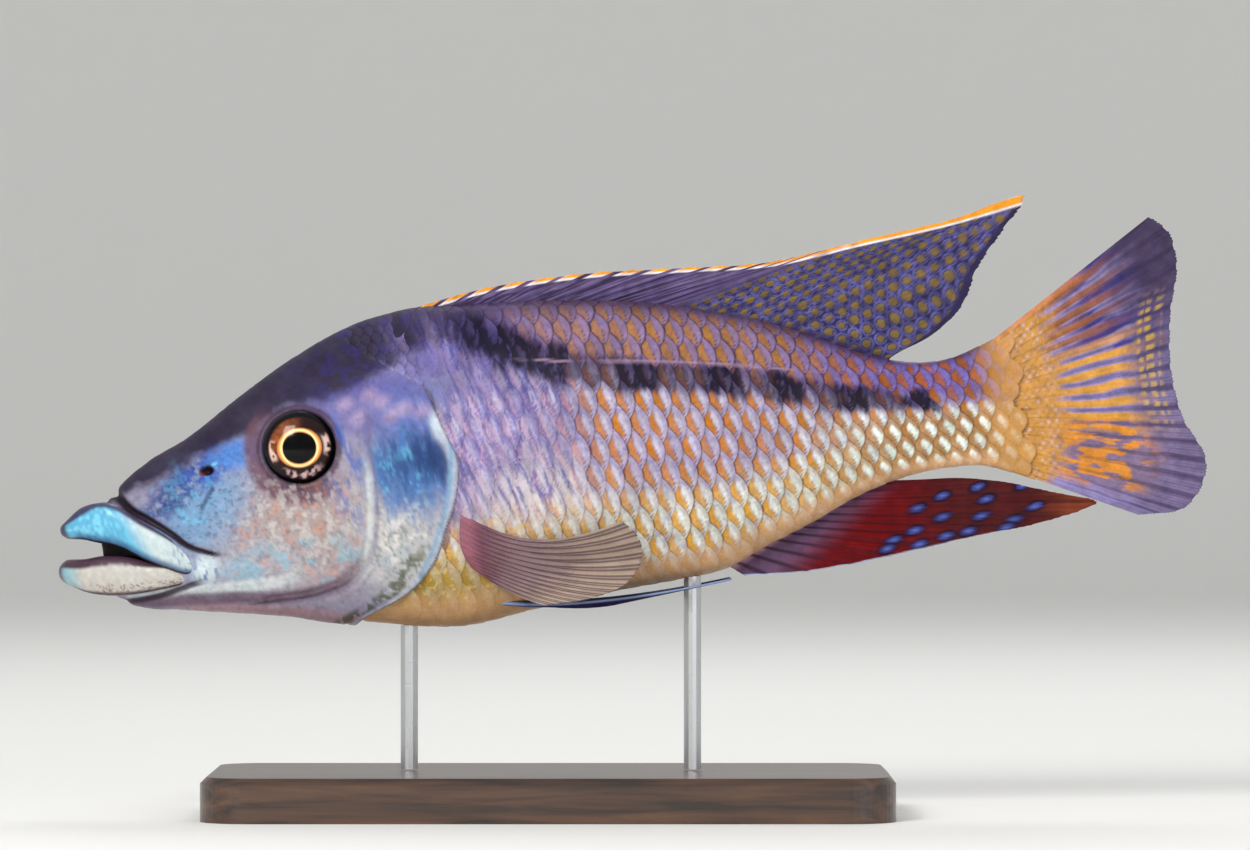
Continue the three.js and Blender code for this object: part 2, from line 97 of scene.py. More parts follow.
# Scales: spacing in a row, and of the rows as [x, step]. ROW_SHIFT is how far a row lies behind the one
# below, and SCALE_REACH and SCALE_ROOT how far a scale's free edge and root lie from its middle, all
# three as shares of the spacing. A plate's root lies SCALE_SINK off the smooth body, and it rises
# SCALE_SLOPE for each millimetre towards the free edge.
SCALE_PITCH, NAPE_PITCH = 3.3, 1.9
ROW_PITCH = [(70, 4.6), (105, 4.6), (125, 4.1), (145, 3.4), (160, 3.0), (178, 2.9)]
NAPE_ROW = 2.3
ROW_SHIFT = 0.38
SCALE_REACH, SCALE_ROOT = 0.75, 1.2
SCALE_SLOPE, SCALE_SINK, SCALE_THICKNESS = 0.04, -0.08, 0.35
LARGE_SCALE_RUNS, NAPE_RUN = ((60, 106), (106, 140), (140, 174.5)), (50, 76)

# Points across and along a scale's plate, and the share of its length before the second of them
SCALE_GRID, NAPE_GRID, FIRST_STEP_ALONG = (23, 15), (11, 8), 0.34
ROWS_EACH_WAY, ROW_MARGIN = 24, 0.35

# Unwrap: millimetres over its full width and height, and the size of one scale on it
UNWRAP_LENGTH, UNWRAP_HEIGHT, UNWRAP_REACH, SCALE_UNWRAP = 210, 200, 46, 0.003


# Curves and fields

def through(points):
    """A smooth function through [x, value] points, straight beyond both ends."""
    xs, ys = np.array(points, float).T
    run = np.diff(xs)
    rise = np.diff(ys) / run
    slopes = np.empty_like(xs)
    slopes[0], slopes[-1] = rise[0], rise[-1]
    slopes[1:-1] = (rise[:-1] * run[1:] + rise[1:] * run[:-1]) / (run[:-1] + run[1:])

    def curve(x):
        x = np.asarray(x, float)
        i = np.clip(np.searchsorted(xs, x, side="right") - 1, 0, len(xs) - 2)
        h = run[i]
        t = (x - xs[i]) / h
        inside = np.clip(t, 0, 1)
        blend = inside * inside * (3 - 2 * inside)
        bulge = h * inside * (1 - inside) * ((1 - inside) * slopes[i] - inside * slopes[i + 1])
        beyond = np.minimum(t, 0) * h * slopes[0] + np.maximum(t - 1, 0) * h * slopes[-1]
        return ys[i] * (1 - blend) + ys[i + 1] * blend + bulge + beyond

    return curve


def path_through(points):
    """A smooth path through points, as a function of 0 to 1 along its length."""
    points = np.array(points, float)
    steps = np.linalg.norm(np.diff(points, axis=0), axis=1)
    along = np.concatenate([[0], np.cumsum(steps)]) / steps.sum()
    axes = [through(np.stack([along, column], 1)) for column in points.T]
    return lambda t: np.stack([axis(t) for axis in axes], -1)


def ramp(value, low, high):
    """0 below low, 1 above high and smooth between; low may be the larger."""
    t = np.clip((np.asarray(value, float) - low) / (high - low), 0, 1)
    return t * t * (3 - 2 * t)


def from_path(x, z, points, samples=120):
    """Distance to a smooth path in side view, its side (+ left of its run) and the share of it passed."""
    path = path_through(points)(np.linspace(0, 1, samples))
    best = np.full(x.shape, 1e9)
    side = np.zeros(x.shape)
    place = np.zeros(x.shape)
    for i in range(samples - 1):
        ax, az = path[i]
        dx, dz = path[i + 1] - path[i]
        t = np.clip(((x - ax) * dx + (z - az) * dz) / (dx * dx + dz * dz), 0, 1)
        px, pz = x - ax - t * dx, z - az - t * dz
        d = np.hypot(px, pz)
        near = d < best
        best = np.where(near, d, best)
        side = np.where(near, np.sign(dx * pz - dz * px), side)
        place = np.where(near, (i + t) / (samples - 1), place)
    return best, side, place


def distance(x, z, points, samples):
    """Distance to a smooth path in side view."""
    return from_path(x, z, points, samples)[0]


NOISE_CELLS = 256
NOISE_TABLE = np.random.default_rng(7).random((NOISE_CELLS, NOISE_CELLS))


def noise(x, z, size, seed=0):
    """Smooth noise from 0 to 1 with features of about size."""
    u, v = x / size + seed * 17.3, z / size + seed * 31.7
    i, j = np.floor(u).astype(int), np.floor(v).astype(int)
    s, t = u - i, v - j
    s, t = s * s * (3 - 2 * s), t * t * (3 - 2 * t)
    look = lambda a, b: NOISE_TABLE[a % NOISE_CELLS, b % NOISE_CELLS]
    low = look(i, j) * (1 - s) + look(i + 1, j) * s
    high = look(i, j + 1) * (1 - s) + look(i + 1, j + 1) * s
    return low * (1 - t) + high * t


def mottle(x, z, size, seed=0):
    """Noise in three finer and finer layers, from 0 to 1."""
    return sum(noise(x, z, size / 2 ** k, seed + k) * w for k, w in enumerate((0.5, 0.3, 0.2)))


def colour(red, green, blue):
    """An 8-bit screen colour as linear light."""
    c = np.array([red, green, blue]) / 255
    return np.where(c <= 0.04045, c / 12.92, ((c + 0.055) / 1.055) ** 2.4)


def lay(under, over, mask):
    """Lays a colour over others where mask is 1."""
    mask = np.clip(mask, 0, 1)[..., None]
    return under * (1 - mask) + over * mask


def plain(tone, like):
    """One 8-bit screen colour for every place of an array."""
    return np.broadcast_to(colour(*tone), like.shape + (3,))


def layers(under, *coats):
    """Lays coats one over the other, each with its mask: an 8-bit screen colour, or a field of light."""
    for tone, mask in coats:
        under = lay(under, colour(*tone) if isinstance(tone, tuple) else tone, mask)
    return under


def blob(x, z, cx, cz, rx, rz, tilt=0.0, soft=0.4):
    """1 inside a tilted ellipse and 0 outside, with a soft edge."""
    c, s = math.cos(math.radians(tilt)), math.sin(math.radians(tilt))
    u = ((x - cx) * c + (z - cz) * s) / rx
    v = (-(x - cx) * s + (z - cz) * c) / rz
    return ramp(np.hypot(u, v), 1 + soft, 1 - soft)


# Body surface

back_line, belly_line, half_width = through(BACK), through(BELLY), through(HALF_WIDTH)
gill_x = through([(z, x) for x, z in reversed(GILL_EDGE)])
middle_row = through(MIDDLE_ROW)
row_pitch = through(ROW_PITCH)


def skin_point(x, angle):
    """Points of the smooth body: angle 0 is the back, and a quarter turn the left flank."""
    top, bottom = back_line(x), belly_line(x)
    middle = bottom + WIDEST_SHARE * (top - bottom)
    up, out = np.cos(angle), np.sin(angle)
    power = BELLY_POWER + (up + 1) / 2 * (BACK_POWER - BELLY_POWER)
    y = -np.sign(out) * np.abs(out) ** power * half_width(x)
    return np.stack([x, y, middle + up * np.where(up > 0, top - middle, middle - bottom)], -1)


def skin_normal(x, angle):
    """Outward normals of the smooth body."""
    step = 1e-3
    along = skin_point(x + step, angle) - skin_point(x - step, angle)
    around = skin_point(x, angle + step) - skin_point(x, angle - step)
    normal = np.cross(around, along)
    return normal / np.linalg.norm(normal, axis=-1, keepdims=True)


def flank_at(x, z):
    """How far out the flank lies at x and height z."""
    x, z = np.asarray(x, float), np.asarray(z, float)
    top, bottom = back_line(x), belly_line(x)
    middle = bottom + WIDEST_SHARE * (top - bottom)
    up = np.clip((z - middle) / np.where(z > middle, top - middle, middle - bottom), -1, 1)
    power = BELLY_POWER + (up + 1) / 2 * (BACK_POWER - BELLY_POWER)
    return np.abs(np.sin(np.arccos(up))) ** power * half_width(x)


class Rows:
    """Turns a place along the body and a distance up from the middle row into an angle."""

    xs = np.linspace(44, 178, 269)
    ups = np.linspace(-70, 70, 561)

    def __init__(self):
        angles = np.linspace(-0.9, math.pi + 0.9, 900)
        self.table = np.empty((len(self.xs), len(self.ups)))
        self.top = np.empty(len(self.xs))
        self.bottom = np.empty(len(self.xs))
        left = (angles >= 0) & (angles <= math.pi)
        for k, x in enumerate(self.xs):
            points = skin_point(np.full(angles.shape, x), angles)
            lengths = np.linalg.norm(np.diff(points[:, 1:], axis=0), axis=1)
            down = np.concatenate([[0], np.cumsum(lengths)])
            at_row = np.interp(-middle_row(x), -points[left, 2], down[left])
            up = at_row - down
            self.table[k] = np.interp(self.ups, up[::-1], angles[::-1])
            self.top[k] = at_row - np.interp(0, angles, down)
            self.bottom[k] = at_row - np.interp(math.pi, angles, down)

    def angle(self, x, up):
        """The angle on the body at x, up above the middle row, read between the table's places."""
        u = np.clip((x - self.xs[0]) / (self.xs[1] - self.xs[0]), 0, len(self.xs) - 1.001)
        v = np.clip((up - self.ups[0]) / (self.ups[1] - self.ups[0]), 0, len(self.ups) - 1.001)
        i, j = u.astype(int), v.astype(int)
        s, t = u - i, v - j
        low = self.table[i, j] * (1 - s) + self.table[i + 1, j] * s
        high = self.table[i, j + 1] * (1 - s) + self.table[i + 1, j + 1] * s
        return low * (1 - t) + high * t


rows = Rows()


def to_world(points):
    """Swings the tail, pitches the fish, lifts it above its stand and turns it into metres."""
    x, y, z = np.moveaxis(np.asarray(points, float), -1, 0)
    y = y + TAIL_SWING * np.maximum(0, (x - SWING_FROM_X) / SWING_LENGTH) ** 2
    wx = FISH_X + x * math.cos(PITCH) - z * math.sin(PITCH)
    wz = FISH_Z + x * math.sin(PITCH) + z * math.cos(PITCH)
    return np.stack([wx, y, wz], -1) * MM


# Meshes

def grid_faces(lines, columns, wrap=False):
    """Quads over a grid of points laid out line by line."""
    i, j = np.meshgrid(np.arange(lines - 1), np.arange(columns if wrap else columns - 1), indexing="ij")
    a = i * columns + j
    b = i * columns + (j + 1) % columns
    return np.stack([a, b, b + columns, a + columns], -1).reshape(-1, 4)


def tube_faces(rings, sides):
    """Faces of a tube of rings, closed by fans to the two points that follow them."""
    count = rings * sides
    last = count - sides
    loop = np.arange(sides)
    after = (loop + 1) % sides
    caps = np.concatenate([
        np.stack([np.full(sides, count), after, loop], -1),
        np.stack([np.full(sides, count + 1), last + loop, last + after], -1),
    ])
    return [grid_faces(rings, sides, wrap=True), caps]


def with_ends(grid, ends):
    """The values over a tube's rings as one list, with those of its two end points behind them."""
    return np.concatenate([grid.reshape(-1, grid.shape[-1]), ends])


def make_mesh(name, points, faces, colours, unwrap, material):
    """A new object from points in metres, lists of faces, a colour and an unwrap place for each point."""
    mesh = bpy.data.meshes.new(name)
    mesh.vertices.add(len(points))
    mesh.vertices.foreach_set("co", points.astype(np.float32).ravel())
    corners = np.concatenate([f.ravel() for f in faces])
    sizes = np.concatenate([np.full(len(f), f.shape[1]) for f in faces])
    mesh.loops.add(len(corners))
    mesh.loops.foreach_set("vertex_index", corners.astype(np.int32))
    mesh.polygons.add(len(sizes))
    mesh.polygons.foreach_set("loop_start", (np.cumsum(sizes) - sizes).astype(np.int32))
    mesh.update(calc_edges=True)
    mesh.validate()
    mesh.shade_smooth()
    paint = mesh.color_attributes.new("Paint", "FLOAT_COLOR", "POINT")
    paint.data.foreach_set("color", np.column_stack([colours, np.ones(len(points))]).ravel())
    layer = mesh.uv_layers.new(name="OFBake")
    index = np.empty(len(mesh.loops), np.int32)
    mesh.loops.foreach_get("vertex_index", index)
    layer.data.foreach_set("uv", unwrap[index].astype(np.float32).ravel())
    mesh.materials.append(material)
    thing = bpy.data.objects.new(name, mesh)
    bpy.context.scene.collection.objects.link(thing)
    return thing


def finish_piece(thing, slot, *nodes):
    """Fixes a piece to the model in place of the nodes it covers. The slot argument is not used."""
    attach(thing, "root")
    if nodes:
        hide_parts(*nodes)
    return thing


# Materials

COAT_ROUGHNESS, COAT_IOR = 0.12, 1.35
GLOW_DEPTHS = (0.0012, 0.0007, 0.0005)
GRAIN_DEPTH = 0.15


def wire(tree, node, inputs):
    """Sets each input of a node to a value, or links it where an output is given."""
    for name, value in inputs.items():
        if isinstance(value, bpy.types.NodeSocket):
            tree.links.new(value, node.inputs[name])
        else:
            node.inputs[name].default_value = value
    return node


def add(tree, kind, inputs):
    """A new node of a kind, with its inputs set or linked."""
    return wire(tree, tree.nodes.new("ShaderNode" + kind), inputs)


def new_material(name):
    material = bpy.data.materials.new(name)
    material.use_nodes = True
    return material, material.node_tree


def painted(name, roughness, coat, grain, grain_size, bump, sheen=0.25, alpha=1.0, glow=0.0):
    """A lacquered surface in the mesh's painted colours, with fine grain in colour, gloss and height."""
    material, tree = new_material(name)
    paint = add(tree, "Attribute", {})
    paint.attribute_name = "Paint"
    place = add(tree, "TexCoord", {}).outputs["Object"]
    grains = {"Scale": 1 / (grain_size * MM), "Detail": 5, "Vector": place}
    fine = add(tree, "TexNoise", grains).outputs["Fac"]
    shade = add(tree, "MapRange", {"To Min": 1 - grain, "To Max": 1 + grain, "Value": fine})
    tint = add(tree, "Mix", {})
    tint.data_type = "RGBA"
    tint.blend_type = "MULTIPLY"
    wire(tree, tint, {"Factor": 1, "A": paint.outputs["Color"], "B": shade.outputs["Result"]})
    gloss = add(tree, "MapRange", {"To Min": roughness - 0.08, "To Max": roughness + 0.1, "Value": fine})
    relief = add(tree, "Bump", {"Strength": bump, "Distance": GRAIN_DEPTH * MM, "Height": fine})
    wire(tree, tree.nodes["Principled BSDF"], {
        "Base Color": tint.outputs["Result"], "Roughness": gloss.outputs["Result"],
        "Normal": relief.outputs["Normal"], "Specular IOR Level": sheen, "Alpha": alpha,
        "Coat Weight": coat, "Coat Roughness": COAT_ROUGHNESS, "Coat IOR": COAT_IOR,
        "Subsurface Weight": glow, "Subsurface Radius": GLOW_DEPTHS,
    })
    return material


# Painting of the flank

BLOTCHES = ((92, 5.5), (106.5, 6), (122, 6.5), (134, 6), (145, 4.5), (157, 4.2))


def blotches(x):
    """How dark the oblique stripe is along the body."""
    dark = ramp(x, 97, 88)
    for centre, length in BLOTCHES:
        dark = np.maximum(dark, ramp(np.abs(x - centre), length, length * 0.4))
    dark = np.maximum(dark, 0.6 * ramp(x, 162, 150)) * ramp(x, 167, 160)
    return dark * (0.4 + 0.6 * ramp(x, 70, 80))


def zones(x, z):
    """Height on the flank, distance from the stripe's middle, and shares of the back above the stripe,
    the low flank, the tail stalk and the front of the flank."""
    top, bottom = back_line(x), belly_line(x)
    high = np.clip((z - bottom) / (top - bottom), 0, 1)
    d, side, _ = from_path(x, z, STRIPE)
    above = d * side
    return high, d, ramp(above, -1.5, 2.5), ramp(high, 0.4, 0.22), ramp(x, 126, 156), ramp(x, 101, 86)


def trunk_paint(x, z, share, across, shade):
    """Colours of the scaled body. share runs from a scale's covered front (0) to its free edge (1),
    across from -1 to 1 over its height, and shade is a random number for each scale."""
    high, d, upper, low, tail, front = zones(x, z)
    grain, fine = mottle(x, z, 2.6, 3), mottle(x, z, 0.9, 4)
    middle = (1 - upper) * (1 - low)
    front_middle = front * middle
    below_tail = tail * ramp(high, 0.62, 0.42) * (1 - upper)
    pale = layers(
        plain((166, 154, 180), x),
        ((136, 110, 140), upper),
        ((204, 202, 190), low),
        ((116, 98, 168), tail * upper),
        ((204, 218, 204), below_tail),
        ((134, 124, 176), front_middle * 0.9),
        ((214, 200, 188), front * low * 0.8),
        ((120, 114, 180), ramp(fine, 0.5, 0.7) * 0.35),
    )
    gold = layers(
        plain((176, 108, 28), x),
        ((150, 100, 26), upper),
        ((146, 78, 34), tail * upper),
        ((200, 146, 50), low),
        ((152, 106, 58), below_tail * 0.85),
        ((176, 134, 160), front_middle),
    )
    # Tone of each scale's dark outline and of the painted shadow along its covered front
    outline_and_shade_tone = layers(
        plain((74, 46, 60), x),
        ((40, 26, 58), upper * (1 - 0.4 * tail)),
        ((108, 74, 44), np.maximum(low, below_tail)),
    )

    wide_gold = np.maximum(0.25 + 0.07 * upper, 0.26 * tail)
    tall_gold = 0.52 + 0.08 * upper
    slant = share + 0.22 * across
    lozenge = ((slant - 0.22) / wide_gold) ** 2 + (across / tall_gold) ** 2
    strength = ramp(lozenge, 1.3, 0.75) * (0.78 + 0.22 * shade) * (1 - 0.55 * front_middle)
    strength = strength * (1 - upper * (1 - tail) * (0.5 - 0.4 * ramp(x, 84, 112)))
    oval = ramp(((slant - 0.66) / 0.27) ** 2 + ((across + 0.04) / 0.5) ** 2, 1.15, 0.75)
    # Oval on the upper rear of each scale: a painted highlight on the middle of the flank, and white-mint
    # marks low on the flank and on the tail stalk
    highlight_and_pale_oval = ramp(((slant - 0.6) / 0.2) ** 2 + ((across - 0.12) / 0.42) ** 2, 1.3, 0.5)
    out = pale * (0.84 + 0.1 * ramp(across, 0.3, -0.3))[..., None]
    # Dark outline round the gold lozenge, heavier on its lower side. Painted shade: each scale is darkened
    # along its covered front, where the scale before it casts its shadow, and along its free edge. All of
    # this is weaker on the front of the flank.
    edge = ramp(np.abs(lozenge - 1.25), 0.5, 0.1) * (0.35 + 0.65 * ramp(across, 0.1, -0.2))
    edge = edge * ramp(share, 0.1, 0.3)
    outline_and_shade = np.maximum(ramp(share, 0.1, 0.02), 0.85 * edge)
    outline_and_shade = np.maximum(outline_and_shade, ramp(share, 0.95, 1.0) * (0.35 + 0.35 * upper)) * (1 - 0.45 * front_middle)
    out = layers(
        out,
        # painted highlight, stronger on some scales than others
        ((206, 202, 214), highlight_and_pale_oval * (1 - upper) * (0.1 + 0.4 * shade)),
        (gold, np.maximum(strength, 0.9 * below_tail * (1 - oval))),
        # white-mint marks of the low flank and tail stalk
        ((226, 234, 224), highlight_and_pale_oval * np.maximum(0.6 * low, below_tail) * (0.3 + 0.6 * shade)),
        # painted shadow at each covered front, with the dark outlines
        (outline_and_shade_tone, outline_and_shade * 0.85),
    )
    out = out * (0.8 + 0.4 * noise(x, z, 0.45, 61))[..., None]

    hatch = lambda seed: mottle(x * 1.7 + z * 0.46, z * 0.18, 0.9, seed)
    streak = ramp(hatch(9), 0.46, 0.58)
    near_stripe = ramp(d, 12, 3)
    blush = ramp(hatch(29), 0.54, 0.66)
    cream = ramp(hatch(39), 0.38, 0.56)
    shoulder = ramp(x, 92, 80) * ramp(z, 13, 19)
    wide = 5.0 - 0.9 * ramp(x, 84, 100) - 1.3 * ramp(x, 130, 155)
    ragged = d + 2.6 * (mottle(x * 1.3, z * 0.35, 1.5, 15) - 0.5) + 1.4 * (shade - 0.5)
    stripe = ramp(ragged, wide, wide * 0.4) * blotches(x + 2 * (shade - 0.5))
    # Within the stripe the black falls on each scale's outline, on its painted shadow and on its front half
    dash = np.maximum(outline_and_shade, ramp(slant, 0.5, 0.3))
    dense = 0.25 + 0.75 * np.maximum(dash, ramp(mottle(x * 1.3, z * 0.5, 1.2, 16), 0.46, 0.58))
    line = ramp(distance(x, z, LATERAL_LINE, 60), 0.3, 0.12) * ramp(x, 84, 90) * ramp(x, 143, 130)
    line = line * ramp(noise(x, z * 0, 1.6, 62), 0.15, 0.5)
    breast = ramp(z, -9, -16) * ramp(x, 86, 72)
    stub = ramp(x, 166, 174)
    out = layers(
        out,
        ((54, 56, 126), streak * front_middle * (0.45 + 0.4 * near_stripe)),
        ((196, 174, 192), blush * front_middle * 0.5),
        ((222, 216, 206), cream * blob(x, z, 87, -3, 10, 5.5, 0, 0.8) * 0.55),
        ((214, 178, 70), ramp(fine, 0.56, 0.7) * front * low * 0.6),
        (colour(78, 72, 136) * (0.6 + 0.8 * shade[..., None]), shoulder * 0.6),
        (colour(44, 34, 84) * (0.6 + 0.8 * shade[..., None]), stripe * 0.82),
        ((12, 7, 24), stripe * dense * ramp(ragged, wide * 0.95, wide * 0.4) * 0.9),
        ((50, 36, 72), ramp(high, 0.92, 1.0) * 0.7),
        ((164, 134, 158), line * 0.6),
        ((150, 122, 48), breast * (0.6 + 0.35 * grain)),
        ((206, 198, 150), breast * ramp(fine, 0.58, 0.7) * 0.5),
        ((204, 160, 118), ramp(high, 0.14, 0.04) * 0.85),
        ((188, 138, 74), stub * (0.7 + 0.3 * fine)),
    )
    return out * (0.84 + 0.32 * grain[..., None])


# Relief and painting of the head

def head_relief(x, z):
    """Height of the head's features over the smooth body, in millimetres."""
    ahead = gill_x(z) - x
    opening = ramp(z, 22, 15)
    rise = 0.85 * ramp(ahead, -0.1, 0.45) * (0.25 + 0.75 * ramp(ahead, 22, 3)) * opening
    rise -= 0.25 * ramp(-ahead, 2.4, 0.4) * ramp(-ahead, -0.2, 0.3) * opening
    rise -= 0.16 * np.exp(-((ahead - 2.6) / 0.5) ** 2) * opening
    veins = mottle(x * 0.8 + 0.5 * z, z * 0.5, 1.4, 6)
    rise += 0.22 * (veins - 0.5) * blob(x, z, 60, 0, 10, 12, 0, 0.5)
    d, side, place = from_path(x, z, PREOPERCLE)
    rise += 0.35 * ramp(side * d, 0.25, -0.35) * ramp(d, 6, 0.3) * ramp(place, 0.0, 0.15)
    rise -= 0.3 * np.exp(-((d - 0.5) / 0.5) ** 2) * ramp(place, 0.02, 0.2)
    r = np.hypot(x - EYE_X, z - EYE_Z)
    rise += 0.3 * np.exp(-((r - 7.1) / 0.6) ** 2)
    rise -= 5.5 * ramp(r, 6.75, 5.2)
    n = np.hypot((x - NOSTRIL_X) / 1.5, z - NOSTRIL_Z)
    rise += 0.26 * np.exp(-((n - 1.2) / 0.4) ** 2) - 1.1 * ramp(n, 0.95, 0.25)
    rise += 0.55 * np.exp(-(np.hypot((x - 25.2) / 2.2, (z + 8.2) / 2.4)) ** 2)
    for line, depth, width in (
        (LACHRYMAL_FOLD, 0.28, 0.45), (LIP_GROOVE, 1.0, 0.9), (JAW_FOLD, 0.5, 0.6), (CHEEK_FOLD, 0.2, 0.8),
    ):
        dist, _, place = from_path(x, z, line, 50)
        rise -= depth * (1 - 0.6 * place) * np.exp(-(dist / (width * (1 - 0.4 * place))) ** 2)
    rise += 0.16 * (mottle(x, z, 1.6, 5) - 0.5) * ramp(x, 76, 66)
    return rise


TOP_BAND = [
    (6, 5.4), (10.9, 7.4), (17.3, 8.8), (23.4, 11), (31, 13.7), (38, 16.2), (45, 19.2), (52, 20), (58, 22),
    (66, 25.5), (76, 29),
]
LIP_GROOVE = [
    (9.3, 9.2), (10.9, 7.4), (13, 4.7), (16.3, 2.2), (20, -0.8), (22.9, -3.5), (26.7, -5.3), (29.1, -6.2),
]
JAW_FOLD = [(7.5, -11.8), (12, -11.9), (17, -11.5), (21.5, -10.6), (25.2, -9.8)]
LACHRYMAL_FOLD = [(28.6, 6.2), (27.4, 4.6), (26.3, 2.9)]
CHEEK_FOLD = [(27, -6.4), (33, -7.6), (40, -7.4), (46, -6.0)]
JAW_BAND = [(7.8, -12.4), (17.6, -12.6), (28.1, -13.5), (41.9, -14.8), (49.5, -13.3), (53.2, -8.6), (54, -5)]
JAW_LIGHT = [(11.3, -10.9), (20.2, -11.2), (29.9, -11.8), (39, -11.8), (46, -10.5)]
COVER_RIDGE = [(56.3, 13), (56.9, 9), (57, 2.3), (55.8, -5.8), (53.6, -12.4), (49.8, -15.6)]
COVER_LINE = [(72.4, 8.5), (71.6, 3), (69.6, -3.7), (66.9, -9.3), (63.5, -14.6)]
MOUTH_LINE = [(4, -1.4), (10, -2.5), (15.6, -5.4)]
COVER_SPOTS = [(62.4, 14.6), (59, 19), (65, 15.6), (68.1, 14.6), (54.4, 18), (56.5, 15.2), (61, 17.4)]


